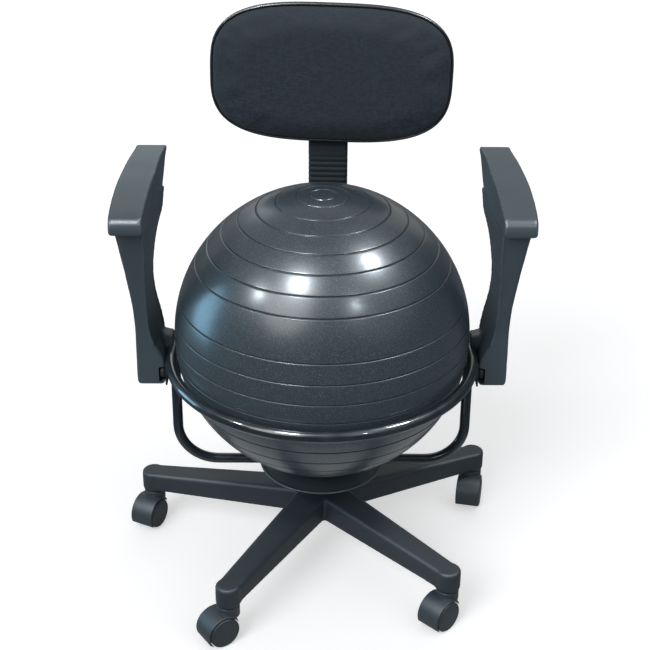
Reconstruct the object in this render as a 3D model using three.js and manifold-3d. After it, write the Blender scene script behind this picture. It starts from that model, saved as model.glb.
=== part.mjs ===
// Balance ball chair: an inflated ball held in a steel ring on a five-leg caster base, with two moulded
// arms and a height-adjustable backrest. Millimetres, +Z up, the front of the chair faces -Y.
// The origin is on the floor under the swivel axis.

import * as THREE from 'three';
import { mergeVertices } from 'three/addons/utils/BufferGeometryUtils.js';
import Module from 'manifold-3d';

const wasm = await Module();
wasm.setup();

// Fits that many pieces share.
const GAP = 0.3;
const OVERRUN = 2;
const WELD_DISTANCE = 0.0005;
const ROUND_SIDES = 12;

// The ball, with moulded grooves along its lines of latitude and one plain band above the equator.
const BALL_RADIUS = 250;
const BALL_WALL = 2.5;
const BALL_SIDES = 28;
const GROOVE_STEP_DEGREES = 8;
const GROOVE_ROWS = 10;
const PLAIN_BAND_ROW = 3;
const POLE_GROOVE_DEGREES = 85;
const GROOVE_WIDTH = 4.4;
const GROOVE_DEPTH = 1.4;
const INNER_SKIN_ROWS = 8;
const VALVE_RADIUS = 5;
const PLUG_LENGTH = 14;
const PLUG_TIP_SHARE = 0.75;

// The steel ring round the lower half of the ball.
const RING_DROP = 51.4;
const RING_FIT = 3;
const RING_TUBE_RADIUS = 10;
const RING_STEPS = 44;
const RING_SIDES = 10;

// The tube that passes under the dish and rises on both sides to the ring.
const SIDE_TUBE_RADIUS = 9;
const SIDE_TUBE_CLEARANCE = 1;
const SIDE_TUBE_BEND = 70;
const SIDE_TUBE_SIDES = 10;
const SIDE_TUBE_STEPS = 36;

// The dish, its pad and the plate under it.
const DISH_FLOOR_RADIUS = 98;
const DISH_FLARE = 11;
const DISH_SHEET = 2;
const DISH_DEPTH = 5;
const DISH_LIP = 2.5;
const DISH_SIDES = 32;
const PAD_INSET = 33;
const PAD_THICKNESS = 15.4;
const PLATE_THICKNESS = 6;
const PLATE_HALF_WIDTH = 50;
const PLATE_FRONT = 50;
const PLATE_REACH = 17;
const BOLT_RADIUS = 3;
const BOLT_HEAD_RADIUS = 7;
const BOLT_HEAD_HEIGHT = 3;
const BOLT_LENGTH = 22;
const BOLT_NUT_RADIUS = 6;
const BOLT_NUT_HEIGHT = 5;

// The swivel between the base and the plate.
const POST_RADIUS = 14;
const POST_TAIL = 8;
const POST_CLIP_THICKNESS = 1.6;
const POST_CLIP_RADIUS = 20;
const POST_GROOVE_DEPTH = 2;
const THRUST_RADIUS = 30;
const THRUST_HEIGHT = 7;
const BUSH_WALL = 3.4;
const SLEEVE_WALL = 4;
const SLEEVE_LENGTH = 32.8;

// The five-leg base. Its first leg points to the chair's left rear.
const LEG_COUNT = 5;
const BASE_TURN_DEGREES = 168.8;
const HUB_RADIUS = 34;
const HUB_DROP = 1;
const HUB_HEIGHT = 54;
const HUB_CHAMFER = 5;
const LEG_RISE = 5;
const LEG_ROOT_HEIGHT = 47.5;
const LEG_TIP_HEIGHT = 35;
const LEG_ROOT_HALF_WIDTH = 30;
const LEG_TIP_HALF_WIDTH = 20;
const LEG_CHAMFER = 6;
const LEG_WALL = 4;
const LEG_POCKETS = 3;
const LEG_POCKET_MARGIN = 14;
const CASTER_CIRCLE_RADIUS = 314;
const SOCKET_RADIUS = 21;
const SOCKET_SIDES = 16;

// The casters. Each trails in its own direction, as seen in plan from +X towards +Y.
const CASTER_TURNS_DEGREES = [243, 214, 226, 258, 240];
const WHEEL_RADIUS = 27.5;
const WHEEL_SIDES = 18;
const WHEEL_WIDTH = 17.7;
const WHEEL_SPACING = 9.6;
const WHEEL_CHAMFER = 2;
const WHEEL_CAP = 4;
const CASTER_TRAIL = 19;
const HOOD_WALL = 3.6;
const HOOD_RECESS = 1;
const HOOD_CLEARANCE = 0.9;
const HOOD_MOUTH_TILT_DEGREES = 34;
const HOOD_MOUTH_HALF_SPAN_DEGREES = 92;
const HOOD_NECK = 8.3;
const HOOD_BOSS_INSET = 2;
const HOOD_BOSS_DEPTH = 12;
const HOOD_AXLE_EYE = 11;
const AXLE_RADIUS = 3;
const STEM_RADIUS = 5.5;
const STEM_ENGAGEMENT = 29;
const STEM_FLOOR = 2.4;

// The arms: a broad pad that rolls over at the front into a thin upright with a block-shaped foot.
const ARM_FOOT_DROP = 43.6;
const ARM_RISE = 370;
const ARM_FOOT_WIDTH = 47.4;
const ARM_FOOT_FRONT = 25;
const ARM_FOOT_DEPTH = 75;
const ARM_SWEEP = 60;
const ARM_CHAMFER = 4;
const PAD_FRONT = 114;
const PAD_LENGTH = 255;
const PAD_HALF_WIDTH = 25.4;
const PAD_TOE_IN = 21;
const PAD_OFFSET = 43.5;
const PAD_CHAMFER = 4.5;
const PAD_CHAMFER_SHARE = 0.33;
const LUG_REACH = 12.6;
const LUG_HEIGHT = 17;
const LUG_FRONT = 18;

// How the arm is bolted to a tab on the ring.
const TAB_FRONT = 24;
const TAB_REAR = 48;
const TAB_DROP = 46;
const TAB_OVERLAP = 7;
const ARM_BOLT_RADIUS = 4;
const ARM_BOLT_HEAD_RADIUS = 6.5;
const ARM_BOLT_HEAD_HEIGHT = 5;
const ARM_BOLT_GRIP = 30;
const ARM_BOLT_DROP = 25;
const ARM_BOLT_PITCH = 23;
const ARM_BOLT_CLEARANCE = 2.5;
const SPACER_RADIUS = 13;
const SPACER_THICKNESS = 10;
const SPACER_CLEARANCE = 2.4;

// The flat steel bar that carries the backrest.
const BAR_HALF_WIDTH = 25;
const BAR_THICKNESS = 6;
const BAR_BEND = 60;
const BAR_FRONT_CLEARANCE = 9;
const BAR_SPARE = 68;
const BAR_BEND_STEPS = 6;
const BAR_BOLT_SPACING = 28;
const BAR_BOLT_INSET = 15;

// The ribbed boot over the bar. Its lower cuff grips the bar.
const BOOT_RISE = 58.4;
const BOOT_RIBS = 21;
const BOOT_CUFF = 10;
const BOOT_HALF_WIDTH = 35;
const BOOT_HALF_DEPTH = 16;
const BOOT_RIB_DEPTH = 3.2;
const BOOT_BORE_CLEARANCE = 3;
const BOOT_CORNER = 7;
const BOOT_RIBS_PER_BORE_RING = 5;

// The backrest.
// The whole back assembly is set this far round the swivel axis, as photographed.
const BACK_TURN_DEGREES = -2;
const BACK_RISE = 369;
const BACK_HALF_WIDTH = 210.5;
const BACK_HALF_HEIGHT = 124.5;
const BACK_SQUARENESS = 3.2;
// The backrest sits this far off the bar's middle and this far off level, as photographed.
const BACK_OFFSET = 5;
const BACK_ROLL_DEGREES = 1.2;
const BACK_OUTLINE_POINTS = 40;
const CUSHION_DEPTH = 31;
const BOARD_THICKNESS = 7;
const BOARD_INSET = 9;
const SHELL_WALL = 2.6;
const SHELL_DEPTH = 35;
const SHELL_MOUTH_CLEARANCE = 4;
const SHELL_STUD_EDGE = 6;
const SHELL_RIM_OVERRUN = 0.03;

// The bracket that slides on the bar, and its clamp.
const BRACKET_SHEET = 3;
const BRACKET_FRONT_WALL = 7.2;
const BRACKET_FLANGE = 17.5;
const BRACKET_LENGTH = 92;
const BRACKET_DROP = 121.7;
const BRACKET_SIDE_CLEARANCE = 0.5;
const BRACKET_REAR_CLEARANCE = 1.2;
const SCREW_RADIUS = 2.2;
const SCREW_HEAD_RADIUS = 4.5;
const SCREW_HEAD_HEIGHT = 1.5;
const SCREW_LENGTH = 6;
const STUD_RADIUS = 4;
const STUD_RISE = 44.7;
const KNOB_RADIUS = 21;
const KNOB_LOBE_DEPTH = 2.4;
const KNOB_LOBES = 6;
const KNOB_POINTS_PER_LOBE = 4;
const KNOB_THICKNESS = 16;
const KNOB_BEVEL = 2;
const KNOB_BORE_DEPTH = 10;
const KNOB_SHELL_GAP = 1;

// Places that follow from the sizes above, from the floor up.
const axleHeight = WHEEL_RADIUS * Math.cos(Math.PI / WHEEL_SIDES);
const wheelInner = WHEEL_SPACING / 2;
const wheelOuter = wheelInner + WHEEL_WIDTH;
const wellRadius = WHEEL_RADIUS + HOOD_CLEARANCE;
const hoodRadius = wellRadius + HOOD_WALL;
const hoodHalfWidth = wheelOuter - HOOD_RECESS;
const hoodTop = axleHeight + hoodRadius + HOOD_NECK;
const stemFoot = axleHeight + wellRadius + STEM_FLOOR;
const socketFoot = hoodTop + 2 * GAP;
const hubFoot = socketFoot - HUB_DROP;
const hubTop = hubFoot + HUB_HEIGHT;
const legFoot = socketFoot + LEG_RISE;
const legRootTop = legFoot + LEG_ROOT_HEIGHT;
const legTipTop = legFoot + LEG_TIP_HEIGHT;
const thrustFoot = hubTop + GAP;
const sleeveFoot = thrustFoot + THRUST_HEIGHT + GAP;
const sleeveInner = POST_RADIUS + GAP + BUSH_WALL + GAP;
const sleeveOuter = sleeveInner + SLEEVE_WALL;
const frameSeat = sleeveFoot + SLEEVE_LENGTH;
const plateUnderside = frameSeat + GAP;
const plateTop = plateUnderside + PLATE_THICKNESS;
const dishUnderside = plateTop + GAP;
const dishFloor = dishUnderside + DISH_SHEET;
const ballFoot = dishFloor + GAP + PAD_THICKNESS + GAP;
const ballCentreHeight = ballFoot + BALL_RADIUS;
const ringHeight = ballCentreHeight - RING_DROP;
const ringRadius = Math.sqrt((BALL_RADIUS + RING_FIT + RING_TUBE_RADIUS) ** 2 - RING_DROP ** 2);
const ringTop = ringHeight + RING_TUBE_RADIUS;
const ringOuter = ringRadius + RING_TUBE_RADIUS;
const dishRadius = DISH_FLOOR_RADIUS + DISH_FLARE;
const padRadius = DISH_FLOOR_RADIUS - PAD_INSET;
const sideTubeHeight = frameSeat - SIDE_TUBE_RADIUS;
const sideTubeBackset = sleeveOuter + SIDE_TUBE_CLEARANCE + SIDE_TUBE_RADIUS;
const sideTubeHalfSpan = Math.sqrt(ringRadius ** 2 - sideTubeBackset ** 2);
const armFoot = ringHeight - ARM_FOOT_DROP;
const armFootInner = ringOuter + 2 * GAP;
const armBoltHeight = ringHeight - ARM_BOLT_DROP;
const armBoltRear = sideTubeBackset - SIDE_TUBE_RADIUS - ARM_BOLT_CLEARANCE - ARM_BOLT_HEAD_RADIUS;
const armBoltPlaces = [armBoltRear - ARM_BOLT_PITCH, armBoltRear];
const spacerPlace = armBoltPlaces[0];
const tabOuter = armFootInner - GAP;
const tabInner = sideTubeHalfSpan + SIDE_TUBE_RADIUS + GAP;
const barFrontEnd = sideTubeBackset + SIDE_TUBE_RADIUS + BAR_FRONT_CLEARANCE;
const barFront = ringOuter + GAP;
const barRear = barFront + BAR_THICKNESS;
const barMiddle = barFront + BAR_THICKNESS / 2;
const barBoltBackset = DISH_FLOOR_RADIUS - BAR_BOLT_INSET;
const loopInner = BAR_HALF_WIDTH + BRACKET_SIDE_CLEARANCE;
const loopOuter = loopInner + BRACKET_SHEET;
const loopRear = barRear + BRACKET_REAR_CLEARANCE;
const flangeHalfWidth = loopOuter + BRACKET_FLANGE;
const bracketFront = barFront - BRACKET_SIDE_CLEARANCE - BRACKET_FRONT_WALL;
const boardRear = bracketFront - GAP;
const boardFront = boardRear - BOARD_THICKNESS;
const cushionRear = boardFront - GAP;
const cushionFront = cushionRear - CUSHION_DEPTH;
const shellRear = boardFront + SHELL_DEPTH;
const knobFront = shellRear + KNOB_SHELL_GAP;
const backCentreHeight = ballCentreHeight + BACK_RISE;
const bracketFoot = backCentreHeight - BRACKET_DROP;
const bracketTop = bracketFoot + BRACKET_LENGTH;
const flangeFoot = bracketFoot + BOARD_INSET;
const screwHeight = (flangeFoot + bracketTop) / 2;
const screwPlaces = [-1, 1].map((side) => side * (loopOuter + flangeHalfWidth) / 2);
const studHeight = bracketFoot + STUD_RISE;
const barTop = bracketTop + BAR_SPARE;
const bootFoot = ringTop + BOOT_RISE;
const bootTop = bracketFoot - GAP;
const bootPitch = (bootTop - bootFoot - 2 * BOOT_CUFF) / BOOT_RIBS;

// Finishes, with the colours of the photographed chair.
const finish = (colour, roughness, metalness = 0) =>
  new THREE.MeshStandardMaterial({ color: colour, roughness, metalness });
const finishes = {
  ball: () => finish('#3d474f', 0.3),
  blackSteel: () => finish('#14171b', 0.25, 0.3),
  steel: () => finish('#9a9ea3', 0.35, 1),
  nylon: () => finish('#2b323b', 0.55),
  armPlastic: () => finish('#3a424b', 0.45),
  hoodPlastic: () => finish('#323b44', 0.4),
  wheel: () => finish('#2a323b', 0.5),
  rubber: () => finish('#15171a', 0.8),
  fabric: () => finish('#262e3a', 0.9),
  board: () => finish('#a98a62', 0.8),
};

const radians = THREE.MathUtils.degToRad;

// Closes a geometry: shared corners are merged, empty faces are dropped and the faces point out.
function closed(geometry) {
  const bare = new THREE.BufferGeometry();
  bare.setAttribute('position', geometry.getAttribute('position').clone());
  if (geometry.getIndex()) bare.setIndex(geometry.getIndex().clone());
  const merged = mergeVertices(bare, WELD_DISTANCE);
  const place = merged.getAttribute('position');
  const corner = [0, 1, 2].map(() => new THREE.Vector3());
  const kept = [];
  let volume = 0;
  const index = merged.getIndex().array;
  for (let i = 0; i < index.length; i += 3) {
    const [a, b, c] = index.slice(i, i + 3);
    if (a === b || b === c || c === a) continue;
    kept.push(a, b, c);
    [a, b, c].forEach((vertex, n) => corner[n].fromBufferAttribute(place, vertex));
    volume += corner[0].dot(corner[1].cross(corner[2]));
  }
  merged.setIndex(volume < 0 ? kept.reverse() : kept);
  merged.computeVertexNormals();
  return merged;
}

function toSolid(geometry) {
  const shape = closed(geometry);
  return new wasm.Manifold(new wasm.Mesh({
    numProp: 3,
    vertProperties: new Float32Array(shape.getAttribute('position').array),
    triVerts: new Uint32Array(shape.getIndex().array),
  }));
}

function toGeometry(solid) {
  const mesh = solid.getMesh();
  const geometry = new THREE.BufferGeometry();
  geometry.setAttribute('position', new THREE.BufferAttribute(new Float32Array(mesh.vertProperties), 3));
  geometry.setIndex(new THREE.BufferAttribute(new Uint32Array(mesh.triVerts), 1));
  return geometry;
}

const join = (...parts) => toGeometry(parts.map(toSolid).reduce((sum, part) => sum.add(part)));
const cut = (body, ...tools) =>
  toGeometry(tools.map(toSolid).reduce((rest, tool) => rest.subtract(tool), toSolid(body)));

// A body turned about the vertical axis, from [radius, height] pairs.
function turned(profile, sides = ROUND_SIDES) {
  const points = profile.map(([radius, height]) => new THREE.Vector2(radius, height));
  return new THREE.LatheGeometry(points, sides).rotateX(Math.PI / 2);
}

const rod = (radius, foot, top, sides) =>
  turned([[0, foot], [radius, foot], [radius, top], [0, top]], sides);
const pipe = (inner, outer, foot, top, sides) =>
  turned([[inner, foot], [outer, foot], [outer, top], [inner, top], [inner, foot]], sides);
const alongX = (geometry) => geometry.rotateY(Math.PI / 2);
const alongY = (geometry) => geometry.rotateX(-Math.PI / 2);

function box(low, high) {
  const size = high.map((value, axis) => value - low[axis]);
  const middle = high.map((value, axis) => (value + low[axis]) / 2);
  return new THREE.BoxGeometry(...size).translate(...middle);
}

// A skin over a row of rings with the same number of points, closed at both ends.
function loft(rings) {
  const count = rings[0].length;
  const corners = rings.flat();
  const index = [];
  for (let row = 0; row + 1 < rings.length; row++) {
    for (let i = 0; i < count; i++) {
      const a = row * count + i;
      const b = row * count + (i + 1) % count;
      index.push(a, b, b + count, a, b + count, a + count);
    }
  }
  for (const [row, turn] of [[0, 1], [rings.length - 1, -1]]) {
    const centre = new THREE.Vector3();
    rings[row].forEach((corner) => centre.addScaledVector(corner, 1 / count));
    const hub = corners.push(centre) - 1;
    for (let i = 0; i < count; i++) {
      const a = row * count + i;
      const b = row * count + (i + 1) % count;
      index.push(hub, ...(turn > 0 ? [b, a] : [a, b]));
    }
  }
  const geometry = new THREE.BufferGeometry().setFromPoints(corners);
  geometry.setIndex(index);
  return geometry;
}

// A flat outline in X and Y given a thickness, standing on a height.
function slab(shape, foot, thickness, curveSegments = ROUND_SIDES) {
  const settings = { depth: thickness, bevelEnabled: false, curveSegments };
  return new THREE.ExtrudeGeometry(shape, settings).translate(0, 0, foot);
}

// An outline in Y and Z given a width across X, centred on X = 0.
function acrossX(shape, halfWidth, curveSegments) {
  const basis = new THREE.Matrix4().makeBasis(
    new THREE.Vector3(0, 1, 0), new THREE.Vector3(0, 0, 1), new THREE.Vector3(1, 0, 0));
  return slab(shape, -halfWidth, 2 * halfWidth, curveSegments).applyMatrix4(basis);
}

function addHole(shape, x, y, radius) {
  shape.holes.push(new THREE.Path().absarc(x, y, radius, 0, 2 * Math.PI, true));
}

function part(name, geometry, look) {
  const mesh = new THREE.Mesh(closed(geometry), finishes[look]());
  mesh.name = name;
  return mesh;
}

function place(object, x, y, z, turn = 0) {
  object.position.set(x, y, z);
  object.rotation.z = turn;
  return object;
}

// The ball: a thin skin with the valve hole at its foot. Heights are from its centre.
function ballGeometry() {
  const bend = (length) => THREE.MathUtils.radToDeg(length / BALL_RADIUS);
  const at = (degrees, radius) => [radius * Math.cos(radians(degrees)), radius * Math.sin(radians(degrees))];
  const valveDegrees = 90 - bend(VALVE_RADIUS);
  const innerRadius = BALL_RADIUS - BALL_WALL;
  const innerValveDegrees = THREE.MathUtils.radToDeg(Math.acos(VALVE_RADIUS / innerRadius));
  const rows = [-POLE_GROOVE_DEGREES];
  for (let row = -GROOVE_ROWS; row <= GROOVE_ROWS; row++) {
    if (row !== PLAIN_BAND_ROW) rows.push(row * GROOVE_STEP_DEGREES);
  }
  rows.push(POLE_GROOVE_DEGREES);
  const outline = [at(-valveDegrees, BALL_RADIUS)];
  for (const degrees of rows) {
    if (degrees === (PLAIN_BAND_ROW + 1) * GROOVE_STEP_DEGREES) {
      outline.push(at(PLAIN_BAND_ROW * GROOVE_STEP_DEGREES, BALL_RADIUS));
    }
    outline.push(at(degrees - bend(GROOVE_WIDTH / 2), BALL_RADIUS));
    outline.push(at(degrees, BALL_RADIUS - GROOVE_DEPTH));
    outline.push(at(degrees + bend(GROOVE_WIDTH / 2), BALL_RADIUS));
  }
  outline.push([0, BALL_RADIUS], [0, innerRadius]);
  for (let row = INNER_SKIN_ROWS - 1; row > 0; row--) {
    outline.push(at(innerValveDegrees * (2 * row / INNER_SKIN_ROWS - 1), innerRadius));
  }
  outline.push(at(-innerValveDegrees, innerRadius), at(-valveDegrees, BALL_RADIUS));
  return turned(outline, BALL_SIDES);
}

function plugGeometry() {
  const radius = VALVE_RADIUS - GAP;
  const foot = GAP - BALL_RADIUS;
  const tip = radius * PLUG_TIP_SHARE;
  return turned([[0, foot], [radius, foot], [radius, foot + PLUG_LENGTH / 2],
    [tip, foot + PLUG_LENGTH], [0, foot + PLUG_LENGTH]]);
}

// The ring tube, at the height of its centre line.
const ringGeometry = (grown = 0) =>
  new THREE.TorusGeometry(ringRadius, RING_TUBE_RADIUS + grown, RING_SIDES, RING_STEPS)
    .translate(0, 0, ringHeight);

// The side tube runs under the dish and turns up to the ring, with its ends coped to the ring.
function sideTubeGeometry() {
  const at = (x, z) => new THREE.Vector3(x, sideTubeBackset, z);
  const path = new THREE.CurvePath();
  const bendTop = sideTubeHeight + SIDE_TUBE_BEND;
  const flat = sideTubeHalfSpan - SIDE_TUBE_BEND;
  const quarter = (centreX, start) => {
    const arc = new THREE.Curve();
    arc.getPoint = (t) => {
      const angle = start + t * Math.PI / 2;
      return at(centreX + SIDE_TUBE_BEND * Math.cos(angle), bendTop + SIDE_TUBE_BEND * Math.sin(angle));
    };
    return arc;
  };
  path.add(new THREE.LineCurve3(at(-sideTubeHalfSpan, ringHeight), at(-sideTubeHalfSpan, bendTop)));
  path.add(quarter(-flat, Math.PI));
  path.add(new THREE.LineCurve3(at(-flat, sideTubeHeight), at(flat, sideTubeHeight)));
  path.add(quarter(flat, -Math.PI / 2));
  path.add(new THREE.LineCurve3(at(sideTubeHalfSpan, bendTop), at(sideTubeHalfSpan, ringHeight)));
  const section = new THREE.Shape().absarc(0, 0, SIDE_TUBE_RADIUS, 0, 2 * Math.PI);
  const tube = new THREE.ExtrudeGeometry(section, {
    steps: SIDE_TUBE_STEPS, curveSegments: SIDE_TUBE_SIDES / 2, bevelEnabled: false, extrudePath: path,
  });
  return cut(tube, ringGeometry(GAP));
}

// The dish is a pressed sheet with a raised lip; two bolts go through its floor, the plate and the bar.
const barBoltPlaces = [-1, 1].map((side) => [side * BAR_BOLT_SPACING / 2, barBoltBackset]);
const barBoltHoles = (foot, top) => barBoltPlaces.map(([x, y]) =>
  rod(BOLT_RADIUS + GAP, foot - OVERRUN, top + OVERRUN).translate(x, y, 0));

function dishGeometry() {
  const lipTop = dishFloor + DISH_DEPTH;
  const lipInner = dishRadius - DISH_LIP;
  const sheet = turned([
    [0, dishUnderside], [DISH_FLOOR_RADIUS, dishUnderside], [dishRadius, lipTop - DISH_LIP],
    [dishRadius, lipTop], [lipInner, lipTop], [DISH_FLOOR_RADIUS, dishFloor], [0, dishFloor],
  ], DISH_SIDES);
  return cut(sheet, ...barBoltHoles(dishUnderside, dishFloor));
}

// The pad is hollowed to the ball above it, in rows at these shares of its radius.
const padShares = [1, 0.75, 0.5, 0.25, 0];
function padGeometry() {
  const foot = dishFloor + GAP;
  const seatRadius = BALL_RADIUS + GAP;
  const seat = (radius) => ballCentreHeight - Math.sqrt(seatRadius ** 2 - radius ** 2);
  const hollow = padShares.map((share) => [share * padRadius, seat(share * padRadius)]);
  return turned([[0, foot], [padRadius, foot], ...hollow], DISH_SIDES);
}

function plateGeometry() {
  const outline = new THREE.Shape();
  outline.moveTo(-PLATE_HALF_WIDTH, -PLATE_FRONT);
  outline.lineTo(PLATE_HALF_WIDTH, -PLATE_FRONT);
  outline.lineTo(PLATE_HALF_WIDTH, PLATE_FRONT);
  outline.lineTo(BAR_HALF_WIDTH, barBoltBackset + PLATE_REACH);
  outline.lineTo(-BAR_HALF_WIDTH, barBoltBackset + PLATE_REACH);
  outline.lineTo(-PLATE_HALF_WIDTH, PLATE_FRONT);
  barBoltPlaces.forEach(([x, y]) => addHole(outline, x, y, BOLT_RADIUS + GAP));
  return slab(outline, plateUnderside, PLATE_THICKNESS, ROUND_SIDES / 2);
}

// A bolt with its head on the dish's floor.
const barBoltGeometry = ([x, y]) => turned([
  [0, -BOLT_LENGTH], [BOLT_RADIUS, -BOLT_LENGTH], [BOLT_RADIUS, GAP], [BOLT_HEAD_RADIUS, GAP],
  [BOLT_HEAD_RADIUS, BOLT_HEAD_HEIGHT / 2], [BOLT_HEAD_RADIUS / 2, BOLT_HEAD_HEIGHT], [0, BOLT_HEAD_HEIGHT],
]).translate(x, y, dishFloor);

// The flat bar: forward end under the plate with two welded nuts, one bend, then straight up.
function barGeometry() {
  const top = frameSeat;
  const foot = frameSeat - BAR_THICKNESS;
  const inner = BAR_BEND - BAR_THICKNESS / 2;
  const outer = BAR_BEND + BAR_THICKNESS / 2;
  const outline = new THREE.Shape();
  outline.moveTo(barFrontEnd, foot);
  outline.lineTo(barRear - outer, foot);
  outline.absarc(barRear - outer, foot + outer, outer, -Math.PI / 2, 0, false);
  outline.lineTo(barRear, barTop);
  outline.lineTo(barFront, barTop);
  outline.lineTo(barFront, top + inner);
  outline.absarc(barFront - inner, top + inner, inner, 0, -Math.PI / 2, true);
  outline.lineTo(barFrontEnd, top);
  const nutFoot = foot - BOLT_NUT_HEIGHT;
  const nuts = barBoltPlaces.map(([x, y]) =>
    rod(BOLT_NUT_RADIUS, nutFoot, foot + BAR_THICKNESS / 2, ROUND_SIDES / 2).translate(x, y, 0));
  const bar = join(acrossX(outline, BAR_HALF_WIDTH, BAR_BEND_STEPS), ...nuts);
  return cut(bar, ...barBoltHoles(nutFoot, top));
}

// The base: five tapered legs with pockets underneath, caster sockets and a hub bored for the post.
function baseGeometry() {
  const hubChamfered = HUB_RADIUS - HUB_CHAMFER;
  const hub = turned([
    [0, hubFoot], [HUB_RADIUS, hubFoot], [HUB_RADIUS, hubTop - HUB_CHAMFER],
    [hubChamfered, hubTop], [0, hubTop],
  ], SOCKET_SIDES);
  const socketShoulder = SOCKET_RADIUS - LEG_CHAMFER / 2;
  const socket = () => turned([
    [0, socketFoot], [SOCKET_RADIUS, socketFoot], [SOCKET_RADIUS, legTipTop - LEG_CHAMFER / 2],
    [socketShoulder, legTipTop], [0, legTipTop],
  ], SOCKET_SIDES).translate(CASTER_CIRCLE_RADIUS, 0, 0);
  const along = (share, root, tip) => root + (tip - root) * share;
  const legRing = (share, inset, foot) => {
    const x = along(share, 0, CASTER_CIRCLE_RADIUS);
    const half = along(share, LEG_ROOT_HALF_WIDTH, LEG_TIP_HALF_WIDTH) - inset;
    const top = along(share, legRootTop, legTipTop) - inset;
    return [[-half, foot], [half, foot], [half, top - LEG_CHAMFER], [half - LEG_CHAMFER, top],
      [LEG_CHAMFER - half, top], [-half, top - LEG_CHAMFER]].map(([y, z]) => new THREE.Vector3(x, y, z));
  };
  const leg = () => loft([legRing(0, 0, legFoot), legRing(1, 0, legFoot)]);
  // Each leg's hollow is split by a middle rib and by cross ribs into pairs of pockets.
  const pocketEnd = CASTER_CIRCLE_RADIUS - SOCKET_RADIUS;
  const pocketStart = HUB_RADIUS + LEG_POCKET_MARGIN;
  const pocketLength = (pocketEnd - pocketStart) / LEG_POCKETS;
  const hollow = () => toSolid(loft([
    legRing(0, LEG_WALL, legFoot - OVERRUN), legRing(1, LEG_WALL, legFoot - OVERRUN)]));
  const pocket = (number, side) => {
    const start = pocketStart + number * pocketLength;
    const near = LEG_WALL / 2;
    const far = LEG_ROOT_HALF_WIDTH;
    const sides = side > 0 ? [near, far] : [-far, -near];
    return toSolid(box([start, sides[0], legFoot - OVERRUN],
      [start + pocketLength - LEG_WALL, sides[1], legRootTop]));
  };
  const stemHole = () => rod(STEM_RADIUS + GAP, socketFoot - OVERRUN, socketFoot + STEM_ENGAGEMENT + GAP)
    .translate(CASTER_CIRCLE_RADIUS, 0, 0);
  let body = toSolid(hub);
  for (let i = 0; i < LEG_COUNT; i++) {
    const turn = i * 360 / LEG_COUNT;
    let piece = toSolid(leg()).add(toSolid(socket()));
    for (let n = 0; n < LEG_POCKETS; n++) {
      for (const side of [-1, 1]) piece = piece.subtract(pocket(n, side).intersect(hollow()));
    }
    body = body.add(piece.subtract(toSolid(stemHole())).rotate([0, 0, turn]));
  }
  const bore = rod(POST_RADIUS + GAP, hubFoot - OVERRUN, hubTop + OVERRUN, SOCKET_SIDES);
  return toGeometry(body.subtract(toSolid(bore)));
}

function postGeometry() {
  const grooveTop = hubFoot - GAP;
  const grooveFoot = grooveTop - POST_CLIP_THICKNESS - GAP;
  const neck = POST_RADIUS - POST_GROOVE_DEPTH;
  return turned([
    [0, hubFoot - POST_TAIL], [POST_RADIUS, hubFoot - POST_TAIL], [POST_RADIUS, grooveFoot],
    [neck, grooveFoot], [neck, grooveTop], [POST_RADIUS, grooveTop],
    [POST_RADIUS, frameSeat - GAP], [0, frameSeat - GAP],
  ], SOCKET_SIDES);
}

const clipGeometry = () => pipe(POST_RADIUS - POST_GROOVE_DEPTH + GAP, POST_CLIP_RADIUS,
  hubFoot - GAP - POST_CLIP_THICKNESS, hubFoot - GAP, SOCKET_SIDES);
const thrustGeometry = () =>
  pipe(POST_RADIUS + GAP, THRUST_RADIUS, thrustFoot, thrustFoot + THRUST_HEIGHT, SOCKET_SIDES);
const bushGeometry = () =>
  pipe(POST_RADIUS + GAP, POST_RADIUS + GAP + BUSH_WALL, sleeveFoot, frameSeat - GAP, SOCKET_SIDES);
const swivelSleeveGeometry = () => pipe(sleeveInner, sleeveOuter, sleeveFoot, frameSeat, SOCKET_SIDES);

// One caster in its own frame: the pivot is the Z axis and the wheels trail towards +X.
function hoodGeometry() {
  const atAxle = (geometry) => geometry.translate(CASTER_TRAIL, 0, axleHeight);
  const drum = atAxle(alongY(rod(hoodRadius, -hoodHalfWidth, hoodHalfWidth, WHEEL_SIDES)));
  const reach = 2 * hoodRadius;
  const across = 2 * hoodHalfWidth;
  const mouthEdge = hoodRadius * Math.cos(radians(HOOD_MOUTH_HALF_SPAN_DEGREES));
  const mouth = atAxle(box([-reach, -across, -reach], [reach, across, mouthEdge])
    .rotateY(radians(HOOD_MOUTH_TILT_DEGREES)));
  const boss = rod(SOCKET_RADIUS - HOOD_BOSS_INSET, axleHeight + hoodRadius - HOOD_BOSS_DEPTH, hoodTop);
  const well = (side) => {
    const reachY = [side * (wheelInner - HOOD_CLEARANCE), side * across];
    return atAxle(alongY(rod(wellRadius, Math.min(...reachY), Math.max(...reachY), WHEEL_SIDES)));
  };
  const eye = atAxle(alongY(rod(HOOD_AXLE_EYE, HOOD_CLEARANCE - wheelInner, wheelInner - HOOD_CLEARANCE)));
  const axleHole = atAxle(alongY(rod(AXLE_RADIUS + GAP, -across, across)));
  const stemHole = rod(STEM_RADIUS + GAP, stemFoot - GAP, hoodTop + OVERRUN);
  const cover = join(cut(drum, mouth), boss);
  return cut(join(cut(cover, well(-1), well(1)), eye), axleHole, stemHole);
}

const stemGeometry = () => turned([
  [0, stemFoot], [STEM_RADIUS, stemFoot],
  [STEM_RADIUS, socketFoot + STEM_ENGAGEMENT - STEM_RADIUS / 2],
  [STEM_RADIUS / 2, socketFoot + STEM_ENGAGEMENT], [0, socketFoot + STEM_ENGAGEMENT],
]);
const axleGeometry = () => {
  const half = wheelOuter - WHEEL_CAP - GAP;
  return alongY(rod(AXLE_RADIUS, -half, half)).translate(CASTER_TRAIL, 0, axleHeight);
};

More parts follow.
